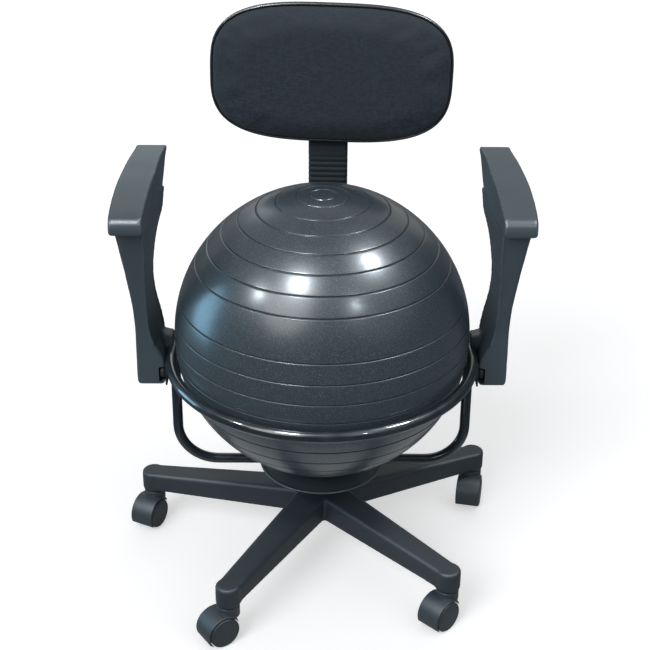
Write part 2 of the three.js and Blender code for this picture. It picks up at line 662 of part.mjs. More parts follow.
// A wheel turned about its axle, with a flat of its rim on the floor. Its outer face is closed.
function wheelGeometry(side) {
  const bore = AXLE_RADIUS + GAP;
  const shoulder = WHEEL_RADIUS - WHEEL_CHAMFER;
  const blind = wheelOuter - WHEEL_CAP;
  const wheel = turned([
    [0, wheelOuter], [shoulder, wheelOuter], [WHEEL_RADIUS, wheelOuter - WHEEL_CHAMFER],
    [WHEEL_RADIUS, wheelInner], [bore, wheelInner],
    [bore, blind], [0, blind],
  ], WHEEL_SIDES).rotateZ(Math.PI / WHEEL_SIDES);
  return wheel.rotateX(side * Math.PI / 2).translate(CASTER_TRAIL, 0, axleHeight);
}

// The arm, for the chair's right-hand side at +X, built from an upright and a pad.
// The upright's rings, from the foot up: height share of the rise; front and rear as shares of the
// forward sweep; inner front, inner rear and outer faces as shares of the foot's width.
const uprightShares = [
  [0, 0, 0, 0.06, 0.06, 0.95],
  [0.012, 0, 0, 0, 0, 1],
  [0.119, 0, 0, 0, 0, 1],
  [0.16, 0, 0, 0.12, 0, 1],
  [0.211, 0.02, -0.04, 0.33, 0.09, 0.99],
  [0.289, 0.05, -0.09, 0.46, 0.17, 0.98],
  [0.362, 0.18, -0.2, 0.47, 0.26, 0.98],
  [0.427, 0.3, -0.28, 0.47, 0.33, 0.99],
  [0.497, 0.42, -0.38, 0.46, 0.35, 1.03],
  [0.568, 0.55, -0.46, 0.44, 0.33, 1.08],
  [0.641, 0.68, -0.53, 0.4, 0.26, 1.13],
  [0.714, 0.8, -0.56, 0.36, 0.17, 1.2],
  [0.781, 0.9, -0.5, 0.36, 0.05, 1.26],
  [0.835, 0.97, -0.35, 0.36, -0.07, 1.32],
  [0.92, 1, -0.1, 0.36, -0.13, 1.38],
];

function uprightGeometry() {
  const across = (share) => armFootInner + share * ARM_FOOT_WIDTH;
  const ring = ([heightShare, frontShare, rearShare, innerFrontShare, innerRearShare, outerShare]) => {
    const z = armFoot + heightShare * ARM_RISE;
    const front = -ARM_FOOT_FRONT - frontShare * ARM_SWEEP;
    const rear = ARM_FOOT_DEPTH - ARM_FOOT_FRONT + rearShare * ARM_SWEEP;
    const [innerFront, innerRear, outer] = [innerFrontShare, innerRearShare, outerShare].map(across);
    const c = ARM_CHAMFER;
    return [
      [innerFront + c, front], [outer - c, front], [outer, front + c], [outer, rear - c],
      [outer - c, rear], [innerRear + c, rear], [innerRear, rear - c], [innerFront, front + c],
    ].map(([x, y]) => new THREE.Vector3(x, y, z));
  };
  return loft(uprightShares.map(ring));
}

// The pad's rings, from the rear tip forward: share of the length; top and underside as shares of the
// arm's rise; how far the ring is turned in, how far its inner foot spreads and how much wider it is on
// the inside, as shares of the toe-in.
const armPadShares = [
  [0, 1.006, 0.988, 1, 0.02, 0],
  [0.015, 1.012, 0.984, 0.99, 0.05, 0],
  [0.08, 1.014, 0.974, 0.92, 0.1, 0.02],
  [0.25, 1.01, 0.92, 0.62, 0.3, 0.12],
  [0.4, 1, 0.892, 0.38, 0.4, 0.27],
  [0.55, 0.989, 0.874, 0.19, 0.45, 0.3],
  [0.7, 0.973, 0.862, 0.07, 0.26, 0.27],
  [0.84, 0.956, 0.857, 0.02, 0.04, 0.22],
  [0.93, 0.943, 0.856, 0.03, 0, 0.15],
  [0.965, 0.935, 0.859, 0.05, 0, 0.12],
  [0.99, 0.918, 0.865, 0.07, 0, 0.09],
  [1, 0.897, 0.874, 0.09, 0, 0.07],
];

function padShapeGeometry() {
  const rear = PAD_LENGTH - PAD_FRONT;
  const ring = ([lengthShare, topShare, footShare, turnShare, spreadShare, widerShare]) => {
    const y = rear - lengthShare * PAD_LENGTH;
    const middle = armFootInner + PAD_OFFSET - turnShare * PAD_TOE_IN;
    const top = armFoot + topShare * ARM_RISE;
    const foot = armFoot + footShare * ARM_RISE;
    const c = Math.min(PAD_CHAMFER, (top - foot) * PAD_CHAMFER_SHARE);
    const left = middle - PAD_HALF_WIDTH - widerShare * PAD_TOE_IN;
    const right = middle + PAD_HALF_WIDTH;
    const leftFoot = left - spreadShare * PAD_TOE_IN;
    return [
      [leftFoot + c, foot], [right - c, foot], [right, foot + c], [right, top - c],
      [right - c, top], [left + c, top], [left, top - c], [leftFoot, foot + c],
    ].map(([x, z]) => new THREE.Vector3(x, y, z));
  };
  return loft(armPadShares.map(ring));
}

// The foot hooks over the ring behind the bolts and is cut away round the spacer in front.
function armGeometry() {
  const lugFoot = ringTop + GAP;
  const lugRear = ARM_FOOT_DEPTH - ARM_FOOT_FRONT - ARM_CHAMFER;
  const lugTip = armFootInner - LUG_REACH;
  const lugRoot = armFootInner + LUG_REACH;
  const lugRing = (y) => [
    [lugTip, lugFoot], [lugRoot, lugFoot], [lugRoot, lugFoot + 2 * LUG_HEIGHT],
    [armFootInner + ARM_CHAMFER, lugFoot + LUG_HEIGHT + ARM_CHAMFER], [lugTip, lugFoot + LUG_HEIGHT],
  ].map(([x, z]) => new THREE.Vector3(x, y, z));
  const lug = loft([lugRing(LUG_FRONT), lugRing(lugRear)]);
  const notchDepth = SPACER_THICKNESS + 2 * GAP;
  const notchRadius = SPACER_RADIUS + SPACER_CLEARANCE;
  const notch = alongX(rod(notchRadius, -OVERRUN, notchDepth, SOCKET_SIDES))
    .translate(armFootInner, spacerPlace, armBoltHeight);
  const notchMouth = box(
    [armFootInner - OVERRUN, -ARM_FOOT_FRONT - OVERRUN, armBoltHeight - notchRadius],
    [armFootInner + notchDepth, spacerPlace, armBoltHeight + notchRadius]);
  const boltHole = alongX(rod(ARM_BOLT_RADIUS + GAP, -OVERRUN, ARM_BOLT_GRIP + GAP));
  const boltHoles = armBoltPlaces.map((y) =>
    boltHole.clone().translate(armFootInner, y, armBoltHeight));
  const body = join(uprightGeometry(), padShapeGeometry(), lug);
  return cut(body, notch, notchMouth, ...boltHoles, ringGeometry(GAP));
}

// The steel tab on each side hangs from the ring and takes the arm's two bolts.
function tabGeometry() {
  const foot = ringHeight - TAB_DROP;
  const top = ringHeight - RING_TUBE_RADIUS + TAB_OVERLAP;
  const plate = box([tabInner, -TAB_FRONT, foot], [tabOuter, TAB_REAR, top]);
  const hole = alongX(rod(ARM_BOLT_RADIUS + GAP, tabInner - OVERRUN, tabOuter + OVERRUN));
  const holes = armBoltPlaces.map((y) => hole.clone().translate(0, y, armBoltHeight));
  return cut(plate, ringGeometry(GAP), ...holes);
}

const armBoltGeometry = (y) => alongX(turned([
  [0, tabInner - GAP - ARM_BOLT_HEAD_HEIGHT], [ARM_BOLT_HEAD_RADIUS, tabInner - GAP - ARM_BOLT_HEAD_HEIGHT],
  [ARM_BOLT_HEAD_RADIUS, tabInner - GAP], [ARM_BOLT_RADIUS, tabInner - GAP],
  [ARM_BOLT_RADIUS, armFootInner + ARM_BOLT_GRIP], [0, armFootInner + ARM_BOLT_GRIP],
])).translate(0, y, armBoltHeight);

const spacerGeometry = () => alongX(pipe(ARM_BOLT_RADIUS + GAP, SPACER_RADIUS,
  armFootInner, armFootInner + SPACER_THICKNESS, SOCKET_SIDES)).translate(0, spacerPlace, armBoltHeight);

// The boot: a folded sleeve round the bar, with a plain cuff at each end.
function bootRing(halfWidth, halfDepth, corner, z) {
  const [w, d, c] = [halfWidth, halfDepth, corner];
  return [[w - c, -d], [w, c - d], [w, d - c], [w - c, d], [c - w, d], [-w, d - c], [-w, c - d], [c - w, -d]]
    .map(([x, y]) => new THREE.Vector3(x, y + barMiddle, z));
}

function bootGeometry() {
  const valley = (z) => bootRing(BOOT_HALF_WIDTH - BOOT_RIB_DEPTH, BOOT_HALF_DEPTH - BOOT_RIB_DEPTH,
    BOOT_CORNER - BOOT_RIB_DEPTH / 2, z);
  const crest = (z) => bootRing(BOOT_HALF_WIDTH, BOOT_HALF_DEPTH, BOOT_CORNER, z);
  const rings = [crest(bootFoot)];
  for (let rib = 0; rib < BOOT_RIBS; rib++) {
    const start = bootFoot + BOOT_CUFF + rib * bootPitch;
    rings.push(crest(start), valley(start + bootPitch / 2));
  }
  rings.push(crest(bootTop - BOOT_CUFF), crest(bootTop));
  const boreRings = [];
  const boreCount = Math.ceil(BOOT_RIBS / BOOT_RIBS_PER_BORE_RING);
  const bore = (grown, z) => bootRing(BAR_HALF_WIDTH + grown, BAR_THICKNESS / 2 + grown, grown, z);
  boreRings.push(bore(GAP, bootFoot), bore(GAP, bootFoot + BOOT_CUFF));
  for (let i = 0; i <= boreCount; i++) {
    const z = bootFoot + 2 * BOOT_CUFF + (bootTop - bootFoot - 2 * BOOT_CUFF) * i / boreCount;
    boreRings.push(bore(BOOT_BORE_CLEARANCE, z));
  }
  return hollowLoft(rings, boreRings);
}

// Joins an outer and an inner row of rings into one open-ended sleeve.
function hollowLoft(outer, inner) {
  const rows = [...outer, ...inner.slice().reverse(), outer[0]];
  const count = outer[0].length;
  const corners = rows.flat();
  const index = [];
  for (let row = 0; row + 1 < rows.length; row++) {
    for (let i = 0; i < count; i++) {
      const a = row * count + i;
      const b = row * count + (i + 1) % count;
      index.push(a, b, b + count, a, b + count, a + count);
    }
  }
  const geometry = new THREE.BufferGeometry().setFromPoints(corners);
  geometry.setIndex(index);
  return geometry;
}

// The backrest's outline: a rounded rectangle that bulges on all four sides.
function backRing(inset, y) {
  const roll = radians(BACK_ROLL_DEGREES);
  const ring = [];
  for (let i = 0; i < BACK_OUTLINE_POINTS; i++) {
    const angle = 2 * Math.PI * i / BACK_OUTLINE_POINTS;
    const bulge = (value) => Math.sign(value) * Math.abs(value) ** (2 / BACK_SQUARENESS);
    const along = (BACK_HALF_WIDTH - inset) * bulge(Math.cos(angle));
    const up = (BACK_HALF_HEIGHT - inset) * bulge(Math.sin(angle));
    const x = BACK_OFFSET + along * Math.cos(roll) + up * Math.sin(roll);
    const z = backCentreHeight + up * Math.cos(roll) - along * Math.sin(roll);
    ring.push(new THREE.Vector3(x, y, z));
  }
  return ring;
}

// The cushion's side from the seam to the crown: inset as a share of the half height, depth as a share.
const cushionShares = [
  [0.05, 1], [0.012, 0.93], [0, 0.8], [0.01, 0.6], [0.05, 0.38], [0.13, 0.2], [0.26, 0.09],
  [0.48, 0.03], [0.8, 0],
];
const cushionGeometry = () => loft(cushionShares.map(([insetShare, depthShare]) =>
  backRing(insetShare * BACK_HALF_HEIGHT, cushionFront + depthShare * CUSHION_DEPTH)));

const boardGeometry = () => {
  const panel = loft([backRing(BOARD_INSET, boardFront), backRing(BOARD_INSET, boardRear)]);
  const hole = alongY(rod(SCREW_RADIUS + GAP, boardRear - SCREW_LENGTH, boardRear + OVERRUN));
  const screwHoles = screwPlaces.map((x) => hole.clone().translate(x, 0, screwHeight));
  return cut(panel, ...screwHoles);
};

// The rear shell: a shallow bowl behind the board, open at the bottom for the bar.
const shellShares = [[0.025, 0], [0.03, 0.25], [0.1, 0.55], [0.22, 0.8], [0.36, 0.94], [0.5, 1]];

function shellGeometry() {
  const skin = (inset, depth) => loft(shellShares.map(([insetShare, depthShare]) =>
    backRing(insetShare * BACK_HALF_HEIGHT + inset, boardFront + depthShare * depth)));
  const hollow = skin(SHELL_WALL, SHELL_DEPTH - SHELL_WALL).translate(0, -SHELL_RIM_OVERRUN, 0);
  const foot = backCentreHeight - BACK_HALF_HEIGHT;
  const mouthHalfWidth = BOOT_HALF_WIDTH + SHELL_MOUTH_CLEARANCE;
  const mouth = box([-mouthHalfWidth, boardFront - OVERRUN, foot - OVERRUN],
    [mouthHalfWidth, shellRear + OVERRUN, studHeight - STUD_RADIUS - GAP - SHELL_STUD_EDGE]);
  const studHole = alongY(rod(STUD_RADIUS + GAP, -shellRear - OVERRUN, OVERRUN - boardRear)).rotateZ(Math.PI)
    .translate(0, 0, studHeight);
  return cut(skin(0, SHELL_DEPTH), hollow, mouth, studHole);
}

// The bracket: a flange screwed to the board and a loop that slides on the bar.
function bracketGeometry() {
  const flange = box([-flangeHalfWidth, bracketFront, flangeFoot],
    [flangeHalfWidth, bracketFront + BRACKET_SHEET, bracketTop]);
  const loop = box([-loopOuter, bracketFront, flangeFoot], [loopOuter, loopRear + BRACKET_SHEET, bracketTop]);
  const slot = box([-loopInner, barFront - BRACKET_SIDE_CLEARANCE, bracketFoot - OVERRUN],
    [loopInner, loopRear, bracketTop + OVERRUN]);
  const studHole = alongY(rod(STUD_RADIUS + GAP, barRear, loopRear + BRACKET_SHEET + OVERRUN))
    .translate(0, 0, studHeight);
  const screwHoles = screwPlaces.map((x) =>
    alongY(rod(SCREW_RADIUS + GAP, bracketFront - OVERRUN, bracketFront + BRACKET_SHEET + OVERRUN))
      .translate(x, 0, screwHeight));
  return cut(join(flange, loop), slot, studHole, ...screwHoles);
}

function screwGeometry(x) {
  const seat = bracketFront + BRACKET_SHEET + GAP;
  const screw = alongY(turned([
    [0, seat - SCREW_LENGTH], [SCREW_RADIUS, seat - SCREW_LENGTH], [SCREW_RADIUS, seat],
    [SCREW_HEAD_RADIUS, seat], [SCREW_HEAD_RADIUS, seat + SCREW_HEAD_HEIGHT], [0, seat + SCREW_HEAD_HEIGHT],
  ]));
  return screw.translate(x, 0, screwHeight);
}

// The clamp: a stud through the shell and the bracket, with a lobed knob outside.
function knobGeometry() {
  const outline = new THREE.Shape();
  const count = KNOB_LOBES * KNOB_POINTS_PER_LOBE;
  for (let i = 0; i < count; i++) {
    const angle = 2 * Math.PI * i / count;
    const radius = KNOB_RADIUS - KNOB_BEVEL - KNOB_LOBE_DEPTH * (1 - Math.cos(KNOB_LOBES * angle)) / 2;
    const [x, y] = [radius * Math.cos(angle), radius * Math.sin(angle)];
    if (i === 0) outline.moveTo(x, y);
    else outline.lineTo(x, y);
  }
  outline.closePath();
  const grip = new THREE.ExtrudeGeometry(outline, {
    depth: KNOB_THICKNESS - 2 * KNOB_BEVEL, bevelSegments: 1,
    bevelThickness: KNOB_BEVEL, bevelSize: KNOB_BEVEL,
  }).rotateX(-Math.PI / 2).translate(0, knobFront + KNOB_BEVEL, 0);
  const bore = alongY(rod(STUD_RADIUS + GAP, knobFront - OVERRUN, knobFront + KNOB_BORE_DEPTH));
  return cut(grip, bore).translate(0, 0, studHeight);
}

const studGeometry = () =>
  alongY(rod(STUD_RADIUS, barRear + GAP, knobFront + KNOB_BORE_DEPTH - GAP)).translate(0, 0, studHeight);

// The chair, put together.
const chair = new THREE.Group();

const base = place(new THREE.Group(), 0, 0, 0, radians(BASE_TURN_DEGREES));
base.add(part('star_base', baseGeometry(), 'nylon'));
base.add(part('swivel_post', postGeometry(), 'steel'));
base.add(part('post_clip', clipGeometry(), 'steel'));
base.add(part('thrust_bearing', thrustGeometry(), 'steel'));
chair.add(base);

for (let i = 0; i < LEG_COUNT; i++) {
  const legAngle = radians(BASE_TURN_DEGREES + i * 360 / LEG_COUNT);
  const number = i + 1;
  const caster = place(new THREE.Group(), CASTER_CIRCLE_RADIUS * Math.cos(legAngle),
    CASTER_CIRCLE_RADIUS * Math.sin(legAngle), 0, radians(CASTER_TURNS_DEGREES[i]));
  caster.add(part(`caster_${number}_hood`, hoodGeometry(), 'hoodPlastic'));
  caster.add(part(`caster_${number}_stem`, stemGeometry(), 'steel'));
  caster.add(part(`caster_${number}_axle`, axleGeometry(), 'steel'));
  caster.add(part(`caster_${number}_wheel_a`, wheelGeometry(1), 'wheel'));
  caster.add(part(`caster_${number}_wheel_b`, wheelGeometry(-1), 'wheel'));
  chair.add(caster);
}

const turnedBack = radians(BACK_TURN_DEGREES);
const backFrame = place(new THREE.Group(), 0, 0, 0, turnedBack);
backFrame.add(part('mounting_plate', plateGeometry(), 'blackSteel'));
backFrame.add(part('support_dish', dishGeometry(), 'blackSteel'));
backFrame.add(part('back_bar_bolt_left', barBoltGeometry(barBoltPlaces[0]), 'steel'));
backFrame.add(part('back_bar_bolt_right', barBoltGeometry(barBoltPlaces[1]), 'steel'));
backFrame.add(part('back_bar', barGeometry(), 'blackSteel'));
backFrame.add(part('bellows_boot', bootGeometry(), 'rubber'));
chair.add(backFrame);

const frame = new THREE.Group();
frame.add(part('swivel_sleeve', swivelSleeveGeometry(), 'blackSteel'));
frame.add(part('swivel_bush', bushGeometry(), 'nylon'));
frame.add(part('ball_pad', padGeometry(), 'rubber'));
frame.add(part('side_tube', sideTubeGeometry(), 'blackSteel'));
frame.add(part('ball_ring', ringGeometry(), 'blackSteel'));
for (const [side, mirror] of [['right', 1], ['left', -1]]) {
  const hand = (geometry) => geometry.scale(mirror, 1, 1);
  frame.add(part(`arm_tab_${side}`, hand(tabGeometry()), 'blackSteel'));
  frame.add(part(`armrest_${side}`, hand(armGeometry()), 'armPlastic'));
  frame.add(part(`arm_spacer_${side}`, hand(spacerGeometry()), 'rubber'));
  frame.add(part(`arm_bolt_${side}_front`, hand(armBoltGeometry(armBoltPlaces[0])), 'steel'));
  frame.add(part(`arm_bolt_${side}_rear`, hand(armBoltGeometry(armBoltPlaces[1])), 'steel'));
}
chair.add(frame);

const ball = place(new THREE.Group(), 0, 0, ballCentreHeight);
ball.add(part('exercise_ball', ballGeometry(), 'ball'));
ball.add(part('valve_plug', plugGeometry(), 'rubber'));
chair.add(ball);

const backrest = place(new THREE.Group(), 0, 0, 0, turnedBack);
backrest.add(part('back_cushion', cushionGeometry(), 'fabric'));
backrest.add(part('back_board', boardGeometry(), 'board'));
backrest.add(part('back_shell', shellGeometry(), 'nylon'));
backrest.add(part('back_bracket', bracketGeometry(), 'blackSteel'));
backrest.add(part('bracket_screw_left', screwGeometry(screwPlaces[0]), 'steel'));
backrest.add(part('bracket_screw_right', screwGeometry(screwPlaces[1]), 'steel'));
backrest.add(part('clamp_knob', knobGeometry(), 'nylon'));
backrest.add(part('clamp_stud', studGeometry(), 'steel'));
chair.add(backrest);

export default chair;
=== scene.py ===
# %% [markdown]
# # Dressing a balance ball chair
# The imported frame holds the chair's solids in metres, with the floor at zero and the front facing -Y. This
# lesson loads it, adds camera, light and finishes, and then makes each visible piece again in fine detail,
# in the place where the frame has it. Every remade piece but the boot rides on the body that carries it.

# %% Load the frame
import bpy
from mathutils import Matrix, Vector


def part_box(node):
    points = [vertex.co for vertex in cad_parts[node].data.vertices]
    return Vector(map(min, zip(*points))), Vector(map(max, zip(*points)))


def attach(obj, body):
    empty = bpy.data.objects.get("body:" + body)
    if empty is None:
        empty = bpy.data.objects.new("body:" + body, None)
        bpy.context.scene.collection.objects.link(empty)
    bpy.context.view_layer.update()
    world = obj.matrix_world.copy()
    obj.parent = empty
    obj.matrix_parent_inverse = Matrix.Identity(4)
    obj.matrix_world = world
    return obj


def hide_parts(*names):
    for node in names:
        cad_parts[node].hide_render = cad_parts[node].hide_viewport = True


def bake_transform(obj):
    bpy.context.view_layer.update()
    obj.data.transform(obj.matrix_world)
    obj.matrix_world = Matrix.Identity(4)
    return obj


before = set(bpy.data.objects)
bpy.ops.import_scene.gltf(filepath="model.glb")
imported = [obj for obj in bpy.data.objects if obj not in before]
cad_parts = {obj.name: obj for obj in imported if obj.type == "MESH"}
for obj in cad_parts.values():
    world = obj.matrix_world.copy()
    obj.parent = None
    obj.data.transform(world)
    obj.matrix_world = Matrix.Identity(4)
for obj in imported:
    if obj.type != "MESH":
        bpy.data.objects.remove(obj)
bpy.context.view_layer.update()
print("solids in the frame:", len(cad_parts))

# %% [markdown]
# ## Camera
# The photograph looks down at the chair with a long lens, so upright edges hardly converge. A camera can
# be placed by hand or from angles. Angles are used here because they were fitted to the outlines of ball,
# ring and base: azimuth and elevation say where the camera stands, and a small roll tips the picture.

# %% Make the camera
import math
import random

import bmesh
import bpy
from mathutils import Matrix, Vector

CAMERA_TARGET = Vector((0.00471, 0.0, 0.44455))
CAMERA_DISTANCE = 2.5107
CAMERA_AZIMUTH, CAMERA_ELEVATION, CAMERA_ROLL = (math.radians(a) for a in (-0.33, 28.45, 0.46))
CAMERA_LENS = 81.85


def add_object(name, data):
    """Puts a new object into the scene."""
    made = bpy.data.objects.new(name, data)
    bpy.context.scene.collection.objects.link(made)
    return made


away = Vector((
    math.sin(CAMERA_AZIMUTH) * math.cos(CAMERA_ELEVATION),
    -math.cos(CAMERA_AZIMUTH) * math.cos(CAMERA_ELEVATION),
    math.sin(CAMERA_ELEVATION),
))
level_right = (-away).cross(Vector((0, 0, 1))).normalized()
level_up = level_right.cross(-away)
camera_right = level_right * math.cos(CAMERA_ROLL) + level_up * math.sin(CAMERA_ROLL)
camera_up = level_up * math.cos(CAMERA_ROLL) - level_right * math.sin(CAMERA_ROLL)

camera = add_object("camera", bpy.data.cameras.new("camera"))
camera.data.lens = CAMERA_LENS
axes = Matrix((camera_right, camera_up, away)).transposed().to_4x4()
camera.matrix_world = Matrix.Translation(CAMERA_TARGET + away * CAMERA_DISTANCE) @ axes
bpy.context.scene.camera = camera
print("camera stands at", tuple(round(c, 3) for c in camera.matrix_world.translation))

# %% [markdown]
# ## Shader maths
# A finish is a small program made of nodes. Linking nodes by hand is slow to write and hard to read, so a
# `Wire` stands for one output socket and takes part in Python sums: `1 - mask` adds a Math node. A `Tree`
# has a single method for every other node: type, settings, then inputs. A `Finish` is a tree with a shader.


# %% Wires and finishes
class Wire:
    """One output socket of a node, used like a number."""

    def __init__(self, tree, socket):
        self.tree, self.socket = tree, socket

    def maths(self, operation, *values):
        return self.tree.node("Math", {"operation": operation}, dict(enumerate(values)))

    def __add__(self, other):
        return self.maths("ADD", self, other)

    def __sub__(self, other):
        return self.maths("SUBTRACT", self, other)

    def __rsub__(self, other):
        return self.maths("SUBTRACT", other, self)

    def __mul__(self, other):
        return self.maths("MULTIPLY", self, other)

    __radd__, __rmul__ = __add__, __mul__

    def wave(self):
        return self.maths("SINE", self)

    def ramp(self, low, high, start=0.0, end=1.0):
        """Nothing below low, all above high, smooth between."""
        limits = {"Value": self, "From Min": low, "From Max": high, "To Min": start, "To Max": end}
        return self.tree.node("MapRange", {"interpolation_type": "SMOOTHSTEP"}, limits)


class Tree:
    """The nodes of a material or of the world."""

    def __init__(self, owner):
        owner.use_nodes = True
        self.nodes, self.links = owner.node_tree.nodes, owner.node_tree.links

    def plug(self, value, socket):
        if isinstance(value, Wire):
            self.links.new(value.socket, socket)
        else:
            socket.default_value = value

    def node(self, kind, settings=None, inputs=None, output=0):
        made = self.nodes.new("ShaderNode" + kind)
        for name, value in (settings or {}).items():
            setattr(made, name, value)
        for name, value in (inputs or {}).items():
            self.plug(value, made.inputs[name])
        return Wire(self, made.outputs[output])

    def place(self, kind="Object"):
        return self.node("TexCoord", output=kind)

    def along(self, kind="Object"):
        """The three coordinates of a point as wires."""
        split = self.node("SeparateXYZ", inputs={"Vector": self.place(kind)})
        return [Wire(self, socket) for socket in split.socket.node.outputs]


class Finish(Tree):
    """A material on the Principled shader. fixed holds the values that are the same all over it."""

    def __init__(self, name, fixed):
        self.material = bpy.data.materials.new(name)
        super().__init__(self.material)
        self.shader = self.nodes["Principled BSDF"]
        for socket, value in fixed.items():
            self.shader.inputs[socket].default_value = value

    def clouds(self, per_metre, detail=2.0, stretch=(1, 1, 1)):
        """Soft random noise with about so many blobs to a metre."""
        where = self.node("VectorMath", {"operation": "MULTIPLY"}, {0: self.place(), 1: stretch})
        return self.node("TexNoise", inputs={"Vector": where, "Scale": per_metre, "Detail": detail})

    def blend(self, mask, low, high):
        """The colour low where the mask is 0 and high where it is 1."""
        return self.node("Mix", {"data_type": "RGBA"}, {0: mask, 6: low, 7: high}, output=2)

    def feed(self, colour=None, rough=None, relief=None, depth=0.0002, coat=None):
        """Joins what varies over the surface to the shader. relief is from 0 to 1, and depth in metres."""
        if relief is not None:
            bump = self.node("Bump", inputs={"Strength": 1.0, "Distance": depth, "Height": relief})
            self.plug(bump, self.shader.inputs["Normal"])
        for value, socket in ((colour, "Base Color"), (rough, "Roughness"), (coat, "Coat Weight")):
            if value is not None:
                self.plug(value, self.shader.inputs[socket])
        return self


def tint(red, green, blue, times=1.0):
    """A colour, made lighter or darker by times."""
    return (red * times, green * times, blue * times, 1.0)


# %% [markdown]
# ## Floor and light
# The photograph shows the chair cut out on white. A pale floor keeps a soft shadow under the casters. Only
# the camera sees floor and sky as bright as that white, so the white puts no light on the chair. Mirror rays
# see a pale floor beneath the chair, a dark one further out, and a sky that darkens towards the horizon, as
# in a hall with a lit ceiling. To all other rays the sky is an even, soft light.

# %% Floor
FLOOR_SIZE = 60.0
FLOOR_COLOUR, FAR_FLOOR = tint(0.82, 0.83, 0.84), tint(0.13, 0.15, 0.17)
FLOOR_GLOW, FLOOR_DULLED = 0.42, 0.6
PALE_WITHIN, DARK_BEYOND = 0.06, 0.30  # squares of the distance from the chair's axis in metres

floor_mesh = bpy.data.meshes.new("floor")
floor_corners = [(x * FLOOR_SIZE / 2, y * FLOOR_SIZE / 2, 0) for x, y in ((-1, -1), (1, -1), (1, 1), (-1, 1))]
floor_mesh.from_pydata(floor_corners, [], [(0, 1, 2, 3)])
floor = add_object("floor", floor_mesh)

floor_fixed = {"Roughness": 0.9, "Specular IOR Level": 0.1, "Emission Strength": FLOOR_GLOW}
floor_paint = Finish("pale floor", floor_fixed)
seen = floor_paint.node("LightPath", output="Is Camera Ray")
mirrored = floor_paint.node("LightPath", output="Is Glossy Ray")
across, ahead, _ = floor_paint.along()
far_out = (across * across + ahead * ahead).ramp(PALE_WITHIN, DARK_BEYOND)
unseen = (1 - seen) * (mirrored * (far_out - FLOOR_DULLED) + FLOOR_DULLED)
floor_paint.feed(colour=floor_paint.blend(unseen, FLOOR_COLOUR, FAR_FLOOR),
                 rough=floor_paint.clouds(3).ramp(0.3, 0.7, 0.86, 0.94))
floor_glow = floor_paint.blend(seen, tint(0, 0, 0), tint(1, 1, 1))
floor_paint.plug(floor_glow, floor_paint.shader.inputs["Emission Color"])
floor_mesh.materials.append(floor_paint.material)
print("floor:", FLOOR_SIZE, "m wide")

# %% Sky
SKY_LIGHT = 0.40
HORIZON_MIRRORED, CEILING_MIRRORED, REAR_MIRRORED = 0.04, 0.34, 0.22

world = bpy.data.worlds.new("studio")
bpy.context.scene.world = world
sky = Tree(world)
in_camera = sky.node("LightPath", output="Is Camera Ray")
in_mirror = sky.node("LightPath", output="Is Glossy Ray")
right, rear, height = sky.along("Generated")
overhead = height.ramp(0.1, 0.9, HORIZON_MIRRORED, CEILING_MIRRORED)
behind = (rear * 0.8 - right * 0.5).ramp(0.0, 0.9, 0.0, REAR_MIRRORED)
level = in_camera * (1 - SKY_LIGHT) + in_mirror * (overhead + behind - SKY_LIGHT) + SKY_LIGHT
background = sky.nodes["Background"]
background.inputs["Color"].default_value = tint(1, 1, 1)
sky.plug(level, background.inputs["Strength"])
print("sky nodes:", len(sky.nodes))

# %% [markdown]
# ## Lamps
# Three broad suns light the chair evenly, like studio boxes. The four spots on the ball and the blue gleam
# at its left are mirror images of lamps in the ceiling and of a window. Where such a lamp must hang follows
# from the mirror law: the ray from the camera to that spot on the ball, turned about the skin's normal.

# %% Suns
ball_low, ball_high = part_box("exercise_ball")
BALL_MIDDLE = (ball_low + ball_high) / 2


def lamp(name, kind, towards, energy, **sizes):
    """A lamp that shines from the direction towards, given as x, y, z."""
    data = bpy.data.lights.new(name, kind)
    data.energy = energy
    for key, value in sizes.items():
        setattr(data, key, value)
    made = add_object(name, data)
    made.location = BALL_MIDDLE + Vector(towards)
    made.rotation_euler = Vector(towards).to_track_quat("Z", "Y").to_euler()
    return made


lamp("key sun", "SUN", (-2.5, -3.5, 3.4), 1.55, angle=math.radians(35))
lamp("fill sun", "SUN", (2.6, -1.8, 2.8), 0.36, angle=math.radians(60))
lamp("rear sun", "SUN", (0.4, 3.4, 1.2), 0.30, angle=math.radians(60))
print("suns:", len(bpy.data.lights))

# %% Ceiling lamps and windows
SENSOR_HALF, PICTURE_HALF = 18.0, 325.0


def mirrored_lamp(name, towards, energy, **sizes):
    """A lamp that only shows in glossy skins and adds no light."""
    made = lamp(name, "AREA", towards, energy, **sizes)
    made.visible_diffuse = False
    return made


def ceiling_spot(pixel_x, pixel_y, distance=2.6):
    """Where a lamp must hang for its mirror image on the ball to show at a pixel of the photograph."""
    half = SENSOR_HALF / CAMERA_LENS
    x = (pixel_x - PICTURE_HALF) / PICTURE_HALF * half
    y = (PICTURE_HALF - pixel_y) / PICTURE_HALF * half
    ray = (camera_right * x + camera_up * y - away).normalized()
    start = camera.matrix_world.translation - BALL_MIDDLE
    radius = (ball_high.z - ball_low.z) / 2
    along = ray.dot(start)
    hit = start + ray * (-along - math.sqrt(along * along - start.dot(start) + radius * radius))
    normal = hit.normalized()
    return hit + (ray - 2 * ray.dot(normal) * normal) * distance


